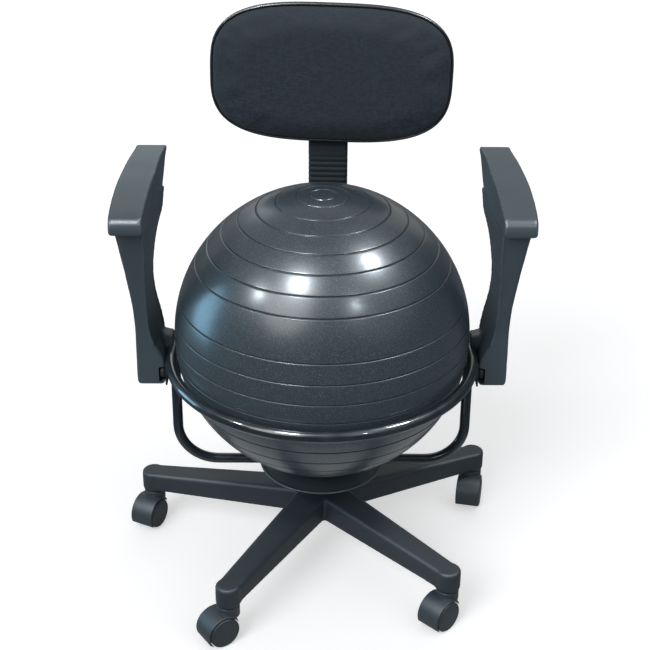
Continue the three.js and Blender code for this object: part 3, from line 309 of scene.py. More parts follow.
CEILING_SPOTS = (
    (299, 284, 0.54, 106.0),
    (371, 262, 0.50, 88.0),
    (259, 294, 0.24, 30.0),
    (356, 305, 0.15, 15.0),
)
for number, (pixel_x, pixel_y, size, energy) in enumerate(CEILING_SPOTS):
    mirrored_lamp(f"ceiling spot {number}", ceiling_spot(pixel_x, pixel_y), energy, shape="DISK", size=size,
                  color=(0.84, 0.94, 1.0))
mirrored_lamp("window", ceiling_spot(201, 326), 54.0, shape="RECTANGLE", size=1.0, size_y=2.6,
              color=(0.35, 0.72, 1.0))
mirrored_lamp("rear window", (-0.9, 2.5, 1.6), 5.5, shape="RECTANGLE", size=1.4, size_y=1.0,
              color=(0.75, 0.92, 1.0))

# %% [markdown]
# ## Tools for shapes
# All drawing below is in millimetres and in the chair's own frame. A `skin` joins rows of points, a `lathe`
# turns a profile about an axis, and `soft` rounds the corners of an outline as a moulder would. A smooth
# table lets a few measured sections stand for a curved piece. `workpiece` turns a drawing into an object in
# metres, and `make` gives it a finish and tells the frame which body carries it and what it stands for.

# %% Skins, lathe and soft corners
MM = 0.001


def foot_and_top(node):
    """The lowest and highest point of one of the frame's solids, in millimetres."""
    low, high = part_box(node)
    return low.z / MM, high.z / MM


def oblong(left, low, right, high):
    """The corners of a rectangle."""
    return [(left, low), (right, low), (right, high), (left, high)]


def rod(radius, low, high):
    """The profile of a plain rod."""
    return oblong(0, low, radius, high)


def skin(rings, caps=True):
    """A mesh over rows of points, each row a closed ring."""
    mesh = bmesh.new()
    rows = [[mesh.verts.new(point) for point in ring] for ring in rings]
    for a, b in zip(rows, rows[1:]):
        for i in range(len(a)):
            j = (i + 1) % len(a)
            mesh.faces.new((a[i], a[j], b[j], b[i]))
    if caps:
        mesh.faces.new(list(reversed(rows[0])))
        mesh.faces.new(rows[-1])
    bmesh.ops.remove_doubles(mesh, verts=mesh.verts, dist=1e-4)
    bmesh.ops.recalc_face_normals(mesh, faces=mesh.faces)
    return mesh


def slab(outline, *depths):
    """An outline in x and z, repeated at these depths along y."""
    return skin([[(x, y, z) for x, z in outline] for y in depths])


def lathe(profile, steps):
    """Turns [radius, height] pairs about the Z axis. A pair with radius 0 closes the shape."""
    turns = [2 * math.pi * i / steps for i in range(steps)]
    return skin([[(r * math.cos(a), r * math.sin(a), z) for a in turns] for r, z in profile], caps=False)


def soft(points, radius, closed=False, steps=4):
    """Rounds the corners of an outline with short curves."""
    count = len(points)
    made = []
    for i, point in enumerate(points):
        here = Vector(point)
        if not closed and i in (0, count - 1):
            made.append(tuple(here))
            continue
        before, after = Vector(points[i - 1]) - here, Vector(points[(i + 1) % count]) - here
        reach = min(radius, before.length * 0.49, after.length * 0.49)
        start, end = here + before.normalized() * reach, here + after.normalized() * reach
        for k in range(steps + 1):
            t = k / steps
            made.append(tuple(start * (1 - t) ** 2 + here * 2 * t * (1 - t) + end * t * t))
    return made


# %% Tables and sweeps
def smooth_table(rows, at):
    """Reads a table at any share of its first column, along a smooth curve through its rows."""
    i = max(k for k in range(len(rows) - 1) if rows[k][0] <= at or k == 0)
    span = rows[i + 1][0] - rows[i][0]
    t = (at - rows[i][0]) / span

    def slope(k, column):
        low, high = max(k - 1, 0), min(k + 1, len(rows) - 1)
        return (rows[high][column] - rows[low][column]) / (rows[high][0] - rows[low][0])

    values = [at]
    for c in range(1, len(rows[0])):
        a, b, da, db = rows[i][c], rows[i + 1][c], slope(i, c) * span, slope(i + 1, c) * span
        values.append(a * (2 * t ** 3 - 3 * t ** 2 + 1) + da * (t ** 3 - 2 * t ** 2 + t)
                      + b * (3 * t ** 2 - 2 * t ** 3) + db * (t ** 3 - t ** 2))
    return values


def steps_of(rows, parts):
    """Shares from the first row of a table to the last, with every row kept."""
    shares = []
    for a, b in zip(rows, rows[1:]):
        shares += [a[0] + (b[0] - a[0]) * k / parts for k in range(parts)]
    return shares + [rows[-1][0]]


def sweep(path, radius, sides, closed=False, up=Vector((0, 1, 0))):
    """A round bar along a path. up is a direction that the path never follows."""
    rings = []
    count = len(path)
    for i, point in enumerate(path):
        before = path[(i - 1) % count] if closed or i else point
        after = path[(i + 1) % count] if closed or i + 1 < count else point
        ahead = (after - before).normalized()
        side = ahead.cross(up).normalized()
        over = side.cross(ahead)
        r = radius(i) if callable(radius) else radius
        rings.append([point + (side * math.cos(a) + over * math.sin(a)) * r
                      for a in (2 * math.pi * k / sides for k in range(sides))])
    return skin(rings + rings[:1] if closed else rings, caps=not closed)


def join(*meshes):
    """Puts several drawings into one, without merging them."""
    whole = bmesh.new()
    for mesh in meshes:
        bit = bpy.data.meshes.new("bit")
        mesh.to_mesh(bit)
        mesh.free()
        whole.from_mesh(bit)
        bpy.data.meshes.remove(bit)
    return whole


def moved(mesh, matrix):
    mesh.transform(matrix)
    return mesh


def turn(degrees, axis="Z"):
    return Matrix.Rotation(math.radians(degrees), 4, axis)


# %% Objects and modifiers
def workpiece(name, mesh):
    """An object from a drawing in millimetres. The drawing is used up."""
    mesh.transform(Matrix.Scale(MM, 4))
    data = bpy.data.meshes.new(name)
    mesh.to_mesh(data)
    mesh.free()
    return add_object(name, data)


def mesh_of(made):
    """Takes the mesh out of an object, which goes."""
    data = made.data
    bpy.data.objects.remove(made)
    return data


def settle(made):
    """Applies an object's modifiers to its mesh."""
    shape = made.evaluated_get(bpy.context.evaluated_depsgraph_get())
    data = bpy.data.meshes.new_from_object(shape)
    made.modifiers.clear()
    old, made.data = made.data, data
    bpy.data.meshes.remove(old)
    return made


def modify(made, kind, **settings):
    """Adds a modifier."""
    step = made.modifiers.new(kind.lower(), kind)
    for key, value in settings.items():
        setattr(step, key, value)
    return made


def combine(made, tool, operation="UNION"):
    """Adds another object, or cuts it out, and uses it up."""
    modify(made, "BOOLEAN", operation=operation, object=tool, solver="EXACT")
    settle(made)
    bpy.data.objects.remove(tool)
    return made


def carve(made, drawing, operation="DIFFERENCE"):
    """Cuts a drawing out of an object, adds it with UNION, or keeps what lies inside it with INTERSECT."""
    return combine(made, workpiece("tool", drawing), operation)


def cast(made, voxel, smooth_steps):
    """Fuses overlapping shells into one skin with small fillets, as a moulding has."""
    modify(made, "REMESH", mode="VOXEL", voxel_size=voxel * MM)
    modify(made, "SMOOTH", factor=0.5, iterations=smooth_steps)
    return settle(made)


# %% Hand a piece to the frame
PIECE_ANGLE = 38.0


def make(made, finish, body, stands_for=(), angle=PIECE_ANGLE):
    """Finishes a piece and hands it to the frame. A piece given no body is attached to none."""
    made.data.materials.clear()
    made.data.materials.append(finish.material)
    made.data.polygons.foreach_set("use_smooth", [True] * len(made.data.polygons))
    made.data.set_sharp_from_angle(angle=math.radians(angle))
    if body:
        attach(made, body)
    if stands_for:
        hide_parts(*stands_for)
    print(f"{made.name}: {len(made.data.polygons)} faces")
    return made


# %% [markdown]
# ## Finishes
# The ball is glossy vinyl with pearl dust in it, so a fine speckle lightens it and a clear coat gives the
# hard shine. Its grooves are matt and painted darker as shade, so this finish works out the latitude of each
# point. The tubes are black powder coat, which is glossy but faintly rippled like orange peel. The arms, base
# and casters are moulded plastic with a fine grain that is rubbed lighter along the edges. The backrest
# wears a plain woven cloth, and hidden fittings are zinc plated steel.

# %% Vinyl, powder coat and steel
GROOVE_STEP, PLAIN_BAND = 8, 24


def vinyl():
    finish = Finish("pearl vinyl", {"Coat Roughness": 0.22, "Coat IOR": 1.45, "Specular IOR Level": 0.35})
    dust = finish.clouds(620, 1.0).ramp(0.50, 0.72)
    broad = finish.clouds(9, 2.0)
    ground = finish.blend(broad, tint(0.030, 0.045, 0.059), tint(0.039, 0.057, 0.073))
    pearl = finish.blend(dust, ground, tint(0.080, 0.108, 0.124))
    scuffs = finish.clouds(40, 4.0, (1, 1, 4)).ramp(0.60, 0.75)
    rise = (finish.along()[2] - BALL_MIDDLE.z) * (2 / (ball_high.z - ball_low.z))
    row = rise.maths("ARCSINE", rise) * (180 / math.pi / GROOVE_STEP)
    off_row = row.maths("ABSOLUTE", row - row.maths("ROUND", row))
    off_band = row.maths("ABSOLUTE", row - PLAIN_BAND / GROOVE_STEP)
    # Painted shade: the grooves are darkened to near black, and are also made rougher and lose the coat.
    groove = (1 - off_row.ramp(0.012, 0.045)) * off_band.ramp(0.4, 0.6)
    return finish.feed(colour=finish.blend(groove, pearl, tint(0.008, 0.012, 0.016)),
                       rough=0.34 + dust * 0.12 + scuffs * 0.10 + groove * 0.3,
                       relief=finish.clouds(900, 1.0), depth=0.00010,
                       coat=(0.6 - scuffs * 0.2) * (1 - groove))


def powder_coat():
    finish = Finish("black powder coat", {"Coat Roughness": 0.07, "Specular IOR Level": 0.3})
    peel = finish.clouds(260, 2.0)
    dust = finish.clouds(30, 3.0).ramp(0.45, 0.75)
    return finish.feed(colour=finish.blend(dust, tint(0.011, 0.018, 0.025), tint(0.020, 0.030, 0.040)),
                       rough=0.28 + dust * 0.12, relief=peel, depth=0.00006, coat=0.9 - dust * 0.2)


def zinc():
    finish = Finish("zinc plate", {"Metallic": 1.0})
    brush = finish.clouds(220, 3.0, (1, 1, 0.08))
    return finish.feed(colour=finish.blend(finish.clouds(45), tint(0.36, 0.37, 0.38), tint(0.50, 0.51, 0.50)),
                       rough=0.26 + brush * 0.22, relief=brush, depth=0.00004)


def moulded(name, colour, rough, grain_per_metre=520, worn=0.5, coat=0.0, gloss=0.5):
    """Plastic with a fine grain. Edges that stick out are rubbed a little lighter."""
    finish = Finish(name, {"Coat Weight": coat, "Coat Roughness": 0.25, "Specular IOR Level": gloss})
    edge = finish.node("NewGeometry", output="Pointiness").ramp(0.515, 0.56)
    patchy = finish.clouds(14, 3.0)
    grain = finish.clouds(grain_per_metre, 2.0)
    ground = finish.blend(patchy, tint(*colour, 0.88), tint(*colour, 1.12))
    rubbed = edge * finish.clouds(60, 2.0).ramp(0.35, 0.65, 0.4, 1.0) * worn
    return finish.feed(colour=finish.blend(rubbed, ground, tint(*colour, 2.2)),
                       rough=rough + grain * 0.10 - rubbed * 0.08, relief=grain, depth=0.00016)


vinyl_finish, black_paint, zinc_finish = vinyl(), powder_coat(), zinc()
# Painted light: the dish paint is lighter than the black of the tubes, to lift the shadow the ball casts on
# it.
shade_lifted_dish_paint = moulded("satin dish paint lifted against shade", (0.044, 0.062, 0.074), 0.40, 300, 0.6, 0.3)
arm_plastic = moulded("arm plastic", (0.054, 0.078, 0.096), 0.36)
base_nylon = moulded("base nylon", (0.0165, 0.0265, 0.0370), 0.52)
hood_plastic = moulded("hood plastic", (0.022, 0.034, 0.045), 0.46)
wheel_plastic = moulded("wheel plastic", (0.020, 0.030, 0.040), 0.48)
shell_plastic = moulded("shell plastic", (0.021, 0.029, 0.038), 0.34, 420)
knob_plastic = moulded("knob plastic", (0.014, 0.017, 0.022), 0.36)
black_rubber = moulded("black rubber", (0.012, 0.013, 0.015), 0.66, 700, 0.2)
spacer_rubber = moulded("spacer rubber", (0.018, 0.025, 0.032), 0.45, 600, 0.3)
piping_vinyl = moulded("piping vinyl", (0.008, 0.011, 0.015), 0.30, 300, 0.2, 0.6)
boot_rubber = moulded("boot rubber", (0.011, 0.017, 0.022), 0.66, 600, 0.1, gloss=0.25)
print("finishes so far:", len(bpy.data.materials))


# %% [markdown]
# ### Cloth and plywood
# The backrest cloth is a plain weave: warp threads run up and weft threads across, and each passes over one
# and under the next. Two sine waves multiplied give that checker of bumps without any unwrapping, because
# they read the place of a point and not a map. The board behind the cushion is plywood, seen only in parts.

# %% Cloth and plywood
THREAD = 1.5


def woven_cloth():
    fixed = {"Sheen Weight": 0.10, "Sheen Roughness": 0.45, "Specular IOR Level": 0.25}
    finish = Finish("woven cloth", fixed)
    x, y, z = finish.along()
    pace = math.pi / (THREAD * MM)
    across, up = (x * pace).wave(), ((z + y) * pace).wave()
    weave = (across * up) * 0.5 + 0.5
    weft, warp = finish.clouds(300, 1.0, (0.3, 1, 1)), finish.clouds(300, 1.0, (1, 1, 0.3))
    slub = (weft * 0.6 + warp * 0.4).ramp(0.38, 0.62)
    broad = finish.clouds(12, 3.0)
    threads = finish.blend(weave * 0.4 + slub * 0.6, tint(0.008, 0.014, 0.021), tint(0.028, 0.042, 0.061))
    shade = finish.blend(broad.ramp(0.3, 0.7, 0.0, 0.3), threads, tint(0.015, 0.023, 0.034))
    return finish.feed(colour=shade, rough=0.78 + slub * 0.18, relief=weave * 0.7 + slub * 0.3, depth=0.00035)


def plywood():
    finish = Finish("plywood", {"Specular IOR Level": 0.3})
    grain = finish.clouds(160, 6.0, (0.06, 1, 1))
    return finish.feed(colour=finish.blend(grain, tint(0.30, 0.19, 0.10), tint(0.50, 0.36, 0.20)),
                       rough=0.6 + grain * 0.2, relief=grain, depth=0.0002)


cloth_finish, ply_finish = woven_cloth(), plywood()
print("finishes:", len(bpy.data.materials))

# %% [markdown]
# ## The ball
# An inflated vinyl ball with narrow moulded grooves along its lines of latitude, and one plain band above
# the equator where a groove is missing. A sphere primitive has no grooves and a bump map would vanish at
# the rim, so the profile is drawn as a half circle that dips at each groove, and turned on a lathe.

# %% Ball skin
BALL_RADIUS = (ball_high.z - ball_low.z) / 2 / MM
GROOVE_TOP, POLE_GROOVE = 80, 85
GROOVE_DEPTH, GROOVE_REACH = 1.5, 0.9
grooves = [row for row in range(-GROOVE_TOP, GROOVE_TOP + 1, GROOVE_STEP) if row != PLAIN_BAND]
grooves = [-POLE_GROOVE, *grooves, POLE_GROOVE]


def ball_profile():
    """Latitudes close together at each groove and wide apart on the plain skin."""
    arc = math.radians(1) * BALL_RADIUS
    offsets = (-4.5, -3.0, -2.1, -1.5, -1.0, -0.5, 0.0, 0.5, 1.0, 1.5, 2.1, 3.0, 4.5)
    latitudes = {-89.0, 89.0}
    for row in grooves:
        latitudes.update(row + offset / arc for offset in offsets)
    for low, high in zip(grooves, grooves[1:]):
        latitudes.update(low + 1.5 + k for k in range(math.ceil(high - low - 2.5)))
    profile = [(0.0, -BALL_RADIUS)]
    for latitude in sorted(latitudes):
        near = min(abs(latitude - row) * arc for row in grooves)
        dip = GROOVE_DEPTH * math.exp(-(near / GROOVE_REACH) ** 2)
        radius = BALL_RADIUS - dip
        angle = math.radians(latitude)
        profile.append((radius * math.cos(angle), radius * math.sin(angle)))
    return [*profile, (0.0, BALL_RADIUS)]


ball_skin = workpiece("ball_skin", lathe(ball_profile(), 144))
ball_skin.data.transform(Matrix.Translation(BALL_MIDDLE))
make(ball_skin, vinyl_finish, "ball", ["exercise_ball"], angle=80)

# %% [markdown]
# ## Ring and side tube
# The ball sits in a hoop of round steel tube, and a second tube runs under it and up both sides to the
# hoop. A curve with a bevel could draw them, but a swept skin keeps the ends under control. Each joint
# gets a bead of weld, laid as a row of small overlapping ripples where the tubes meet.

# %% Ring, side tube and welds
ring_low, ring_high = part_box("ball_ring")
RING_HEIGHT = (ring_low.z + ring_high.z) / 2 / MM
RING_TUBE = 10.0
RING_RADIUS = (ring_high.x - ring_low.x) / 2 / MM - RING_TUBE
SIDE_TUBE, SIDE_BACKSET, SIDE_BEND = 9.0, 32.0, 70.0
SIDE_HEIGHT = foot_and_top("side_tube")[0] + SIDE_TUBE
SIDE_SPAN = math.sqrt(RING_RADIUS ** 2 - SIDE_BACKSET ** 2)


def circle(radius, height, steps):
    return [Vector((radius * math.cos(a), radius * math.sin(a), height))
            for a in (2 * math.pi * i / steps for i in range(steps))]


def hoop(thickness):
    """A round bar of this radius that lies where the ring lies."""
    return sweep(circle(RING_RADIUS, RING_HEIGHT, 160), thickness, 24, True, Vector((0, 0, 1)))


def side_path():
    """From the ring on the left, down, under the dish and up to the ring on the right."""
    top, flat = SIDE_HEIGHT + SIDE_BEND, SIDE_SPAN - SIDE_BEND
    half = [Vector((flat * k / 8, SIDE_BACKSET, SIDE_HEIGHT)) for k in range(8)]
    for k in range(17):
        angle = -math.pi / 2 + math.pi / 2 * k / 16
        x, z = flat + SIDE_BEND * math.cos(angle), top + SIDE_BEND * math.sin(angle)
        half.append(Vector((x, SIDE_BACKSET, z)))
    half += [Vector((SIDE_SPAN, SIDE_BACKSET, top + (RING_HEIGHT - 4 - top) * k / 8)) for k in range(1, 9)]
    return [Vector((-p.x, p.y, p.z)) for p in reversed(half[1:])] + half


def weld_bead(name, path, thickness, seed):
    """A rippled bead along a closed path."""
    chance = random.Random(seed)
    ripple = [thickness * (0.85 + 0.3 * abs(math.sin(i * 1.3)) + chance.uniform(-0.06, 0.06))
              for i in range(len(path))]
    mesh = sweep(path, lambda i: ripple[i], 8, True, Vector((0.01, 0.02, 1)))
    return make(workpiece(name, mesh), black_paint, "seat_frame", angle=80)


seat_ring = workpiece("seat_ring", hoop(RING_TUBE))
make(seat_ring, black_paint, "seat_frame", ["ball_ring"], angle=80)
bent_tube = workpiece("side_tube_bent", sweep(side_path(), SIDE_TUBE, 20))
make(bent_tube, black_paint, "seat_frame", ["side_tube"], angle=60)
SIDES = (("right", 1), ("left", -1))
for side, sign in SIDES:
    bead = []
    for k in range(40):
        angle = 2 * math.pi * k / 40
        x = sign * SIDE_SPAN + (SIDE_TUBE + 0.4) * math.cos(angle)
        y = SIDE_BACKSET + (SIDE_TUBE + 0.4) * math.sin(angle)
        off = min(abs(math.hypot(x, y) - RING_RADIUS), RING_TUBE)
        bead.append(Vector((x, y, RING_HEIGHT - math.sqrt(RING_TUBE ** 2 - off ** 2) + 0.3)))
    weld_bead(f"tube_weld_{side}", bead, 1.5, 3 if sign > 0 else 4)

# %% [markdown]
# ## Dish, pad and swivel
# Under the ball a pressed steel dish holds a foam pad, and a short post in a sleeve lets the seat turn on
# the base. All are round about the same upright line, so profiles on the lathe are the natural way. The
# foam pad is hollowed to the ball and its rim bulges a little under the load.

# %% Dish
dish_foot, _ = foot_and_top("support_dish")
DISH_RADIUS, DISH_FLOOR, DISH_SHEET, DISH_DEPTH = 109.0, 98.0, 2.0, 5.0
dish_floor = dish_foot + DISH_SHEET
dish_line = [(0, dish_foot), (DISH_FLOOR, dish_foot), (DISH_RADIUS, dish_floor + DISH_DEPTH - 3.0),
             (DISH_RADIUS, dish_floor + DISH_DEPTH), (DISH_RADIUS - 2.6, dish_floor + DISH_DEPTH),
             (DISH_FLOOR, dish_floor), (0, dish_floor)]
dish = workpiece("dish_pressed", lathe(soft(dish_line, 2.0), 120))
make(dish, shade_lifted_dish_paint, "seat_frame", ["support_dish"])

# %% Foam pad
PAD_RADIUS, PAD_GAP = 65.0, 0.3
PAD_RIM = ((-4, 0), (-1.2, 2), (0.6, 7), (0.8, 13), (-0.4, 19), (-1.6, 22))
pad_foot, _ = foot_and_top("ball_pad")


def pad_profile():
    """Flat below, with a bulging rim and a hollow that fits the ball."""
    centre, reach = BALL_MIDDLE.z / MM, BALL_RADIUS + PAD_GAP
    rim = [(PAD_RADIUS + out, pad_foot + rise) for out, rise in PAD_RIM]
    hollow = [(r, centre - math.sqrt(reach ** 2 - r ** 2)) for r in (62, 55, 45, 35, 25, 15, 7, 0)]
    return [(0, pad_foot), *rim, *hollow]


# Painted light: the foam is coloured lighter to lift the shade under the ball.
shade_lifted_foam_finish = moulded("foam rubber lifted against shade", (0.024, 0.032, 0.038), 0.82, 340, 0.1)
foam_pad = make(workpiece("foam_pad", lathe(pad_profile(), 96)), shade_lifted_foam_finish, "seat_frame", ["ball_pad"],
                angle=50)

# %% Swivel parts
POST_BORE = 14.3


def upright_ring(name, node, inner, outer, finish, body, round_by=0.6):
    """A turned ring or rod that fills the height of its solid."""
    foot, top = foot_and_top(node)
    profile = soft(oblong(inner, foot, outer, top), round_by)
    if inner:
        profile.append(profile[0])
    return make(workpiece(name, lathe(profile, 64)), finish, body, [node])


upright_ring("sleeve_turned", "swivel_sleeve", 18.0, 22.0, black_paint, "seat_frame")
upright_ring("bush_turned", "swivel_bush", POST_BORE, 17.7, base_nylon, "seat_frame")
upright_ring("bearing_turned", "thrust_bearing", POST_BORE, 30.0, zinc_finish, "base", 1.6)
upright_ring("post_turned", "swivel_post", 0.0, 14.0, zinc_finish, "base", 1.2)

# %% [markdown]
# ## Star base
# The base is one moulding: five tapered legs with rounded shoulders run out from a hub to round caster
# sockets, and pockets underneath save plastic. Legs joined by booleans would meet in hard seams, which a
# moulding never has. So the parts are drawn apart, overlapped, and cast into one skin with a voxel remesh.
# Booleans only cut the pockets before that and the bores afterwards.

# %% Leg
BASE_TURN, LEG_STEP = 168.8, 72
CASTER_CIRCLE, SOCKET_RADIUS, HUB_RADIUS = 314.0, 21.0, 34
base_foot, HUB_TOP = foot_and_top("star_base")
SOCKET_FOOT = base_foot + 1.0
LEG_FOOT, LEG_ROOT_TOP, LEG_TIP_TOP = SOCKET_FOOT + 5, SOCKET_FOOT + 52.5, SOCKET_FOOT + 40
LEG_HALF, LEG_TAPER, LEG_WALL = 30.0, 10.0, 3.6
RIB, POCKETS, POCKETS_START = 4.0, 3, 48.0


def leg_ring(share, inset, foot, crown=9.0):
    """The leg's outline at a share of its length, or the outline of its hollow where inset is the wall."""
    x = CASTER_CIRCLE * share
    half = LEG_HALF - LEG_TAPER * share - inset
    top = LEG_ROOT_TOP + (LEG_TIP_TOP - LEG_ROOT_TOP) * share - inset
    sharp = oblong(-half, foot, half, top)
    crown = max(crown - inset, 3.0)
    outline = sharp[:2] + soft(sharp[1:] + sharp[:1], crown, steps=8)[1:-1]
    return [(x, y, z) for y, z in outline]


def leg_piece():
    """A leg with pockets between the ribs on its underside."""
    leg = workpiece("leg", skin([leg_ring(k / 12, 0, LEG_FOOT) for k in range(13)]))
    hollow = workpiece("hollow", skin([leg_ring(k, LEG_WALL, LEG_FOOT - 2, 10) for k in (0, 1)]))
    length = (CASTER_CIRCLE - SOCKET_RADIUS - POCKETS_START) / POCKETS
    blocks = []
    for n in range(POCKETS):
        for sign in (-1, 1):
            near, far = POCKETS_START + n * length, POCKETS_START + (n + 1) * length - RIB
            low, high = sorted((sign * RIB / 2, sign * (LEG_HALF + 2)))
            ring = oblong(near, low, far, high)
            blocks.append(skin([[(x, y, z) for x, y in ring] for z in (LEG_FOOT - 3, LEG_ROOT_TOP)]))
    carve(hollow, join(*blocks), "INTERSECT")
    return combine(leg, hollow, "DIFFERENCE")


leg_data = mesh_of(leg_piece())
leg_data.transform(Matrix.Scale(1 / MM, 4))
print("leg:", len(leg_data.polygons), "faces")

# %% Cast the star
STEM_BORE = 5.8
to_socket = Matrix.Translation((CASTER_CIRCLE, 0, 0))
legs = []
for k in range(5):
    leg = bmesh.new()
    leg.from_mesh(leg_data)
    socket = lathe(soft(rod(SOCKET_RADIUS, SOCKET_FOOT, LEG_TIP_TOP), 6.0, steps=6), 48)
    legs += [moved(leg, turn(LEG_STEP * k)), moved(moved(socket, to_socket), turn(LEG_STEP * k))]
hub = lathe(soft(rod(HUB_RADIUS, SOCKET_FOOT - 1, HUB_TOP), 4.0), 64)
base_star = workpiece("base_star", moved(join(hub, *legs), turn(BASE_TURN)))
cast(base_star, 2.5, 3)
holes = [lathe(rod(POST_BORE, SOCKET_FOOT - 6, HUB_TOP + 6), 48)]
for k in range(5):
    bore = lathe(rod(STEM_BORE, SOCKET_FOOT - 4, SOCKET_FOOT + 29.3), 24)
    holes.append(moved(bore, turn(BASE_TURN + LEG_STEP * k) @ to_socket))
carve(base_star, join(*holes))
make(base_star, base_nylon, "base", ["star_base"])

# %% [markdown]
# ## Casters
# Each caster is a hood over two wheels, and it trails behind its stem like a shopping trolley's. The hood
# is a drum with a web between the wheels, so one profile off the lathe gives wall and web. Booleans cut its
# mouth on a slant, add the boss of the stem and drill it, and a bevel takes the sharpness off. Their tools
# have other facets than the drum, because facets that coincide leave gaps. The wheels come off the lathe.

# %% Hood
CASTER_TRAIL, HOOD_RADIUS, HOOD_HALF, WELL_RADIUS = 19.0, 32.0, 21.5, 28.4
MOUTH_EDGE, MOUTH_TILT, LIP_TAPER = -1.1, 34.0, 2.6
BOSS_RADIUS, BOSS_FOOT, AXLE_BOSS, AXLE_BORE = 19, 47.1, 11, 3.3
AXLE_HEIGHT = 27.5 * math.cos(math.pi / 18)
HOOD_TOP = SOCKET_FOOT - 0.6
WHEEL_INNER, WHEEL_OUTER = 4.8, 22.5
to_axle = Matrix.Translation((CASTER_TRAIL, 0, AXLE_HEIGHT))


def across_axle(profile, steps, start=0.0):
    """A turned shape laid along the axle. Its first facet is turned by start degrees."""
    return moved(lathe(profile, steps), to_axle @ turn(90, "X") @ turn(start))


def hood_mesh():
    """Drum, slanted mouth, axle boss, stem boss and the two bores."""
    web = WHEEL_INNER - 0.9
    half = [(HOOD_RADIUS, HOOD_HALF), (WELL_RADIUS, HOOD_HALF), (WELL_RADIUS, web), (0, web)]
    hood = workpiece("hood", across_axle(soft([(r, -y) for r, y in reversed(half)] + half, 1.4, steps=5), 96))
    wide, lip = HOOD_RADIUS + 0.3, HOOD_RADIUS - LIP_TAPER
    kept = [(-lip, MOUTH_EDGE), (lip, MOUTH_EDGE), (wide, 9), (wide, 70), (-wide, 70), (-wide, 9)]
    carve(hood, moved(slab(kept, 50, -50), to_axle @ turn(MOUTH_TILT, "Y")), "INTERSECT")
    carve(hood, across_axle(rod(AXLE_BOSS, -web - 0.4, web + 0.4), 49, 1.3), "UNION")
    boss = workpiece("boss", lathe(soft(rod(BOSS_RADIUS, BOSS_FOOT, HOOD_TOP), 1.5), 64))
    for low, high in ((-40, 0.5 - web), (web - 0.5, 40)):
        carve(boss, across_axle(rod(WELL_RADIUS + 0.5, low, high), 90, 2.1))
    combine(hood, boss)
    carve(hood, across_axle(rod(AXLE_BORE, -30, 30), 23, 2.1))
    carve(hood, moved(lathe(rod(STEM_BORE, HOOD_TOP - 12.8, HOOD_TOP + 3), 31), turn(1.3)))
    modify(hood, "BEVEL", width=0.45 * MM, segments=2, limit_method="ANGLE", angle_limit=math.radians(50))
    return mesh_of(settle(hood))


hood_data = hood_mesh()
print("hood:", len(hood_data.polygons), "faces")

# %% Wheels
WHEEL_FACE = ((0, 2.2), (1.9, 0.1), (3.6, 0.1), (4.2, 0.9), (5.2, 0.9), (5.8, 0.3))


def wheel_mesh(sign):
    """Tread, rounded shoulder and a slightly dished face with a raised cap."""
    tread = AXLE_HEIGHT - 0.02
    line = [(AXLE_BORE, WHEEL_INNER), (tread - 1.6, WHEEL_INNER), (tread, WHEEL_INNER + 1.6)]
    line += [(tread - inset, WHEEL_OUTER - sunk) for inset, sunk in WHEEL_FACE]
    line += [(8.0, WHEEL_OUTER - 0.1), (0, WHEEL_OUTER), (0, WHEEL_OUTER - 4.0)]
    line += [(AXLE_BORE, WHEEL_OUTER - 4.0), (AXLE_BORE, WHEEL_INNER)]
    return mesh_of(workpiece("wheel", moved(lathe(soft(line, 0.7), 72), to_axle @ turn(90 * sign, "X"))))


wheel_data = {"a": wheel_mesh(1), "b": wheel_mesh(-1)}
print("wheel:", len(wheel_data["a"].polygons), "faces")

# %% Five casters
CASTER_TURNS = (243, 214, 226, 258, 240)


def on_caster(name, data, number, finish, body, node):
    """A copy of a hood or wheel under its socket, turned to the caster's own heading."""
    angle = math.radians(BASE_TURN + LEG_STEP * (number - 1))
    made = add_object(name, data.copy())
    pivot = (CASTER_CIRCLE * MM * math.cos(angle), CASTER_CIRCLE * MM * math.sin(angle), 0)
    made.data.transform(Matrix.Translation(pivot) @ turn(CASTER_TURNS[number - 1]))
    return make(made, finish, body, [node])


for number in range(1, 6):
    caster = f"caster_{number}"
    on_caster(f"{caster}_cover", hood_data, number, hood_plastic, caster, f"{caster}_hood")
    for hand, data in wheel_data.items():
        wheel = f"{caster}_wheel_{hand}"
        on_caster(f"{caster}_roller_{hand}", data, number, wheel_plastic, wheel, wheel)

# %% [markdown]
# ## Arms
# Each arm is one moulding. A broad pad rolls over at the front into a thin upright, which narrows at the
# waist and ends in a block with a lug over the ring. A few measured sections say all that, so two smooth
# lofts are drawn through them, overlapped with the lug, and cast into one skin. The seat for the ring and
# the notch for the spacer are cut afterwards, so that they stay crisp.

# %% Arm sections
ARM_FOOT = RING_HEIGHT - 43.6
ARM_RISE, ARM_SWEEP, ARM_WIDTH = 370.0, 60.0, 47.4
ARM_INNER = RING_RADIUS + RING_TUBE + 0.6
FOOT_FRONT, FOOT_REAR = -25, 50
UPRIGHT = (
    (0, 0, 0, 0.06, 0.06, 0.95),
    (0.012, 0, 0, 0, 0, 1),
    (0.119, 0, 0, 0, 0, 1),
    (0.16, 0, 0, 0.12, 0, 1),
    (0.211, 0.02, -0.04, 0.33, 0.09, 0.99),
    (0.289, 0.05, -0.09, 0.46, 0.17, 0.98),
    (0.362, 0.18, -0.2, 0.47, 0.26, 0.98),
    (0.427, 0.3, -0.28, 0.47, 0.33, 0.99),
    (0.497, 0.42, -0.38, 0.46, 0.35, 1.03),
    (0.568, 0.55, -0.46, 0.44, 0.33, 1.08),
    (0.641, 0.68, -0.53, 0.4, 0.26, 1.13),
    (0.714, 0.8, -0.56, 0.36, 0.17, 1.2),
    (0.781, 0.9, -0.5, 0.36, 0.05, 1.26),
    (0.835, 0.97, -0.35, 0.36, -0.07, 1.32),
    (0.92, 1, -0.1, 0.36, -0.13, 1.38),
)
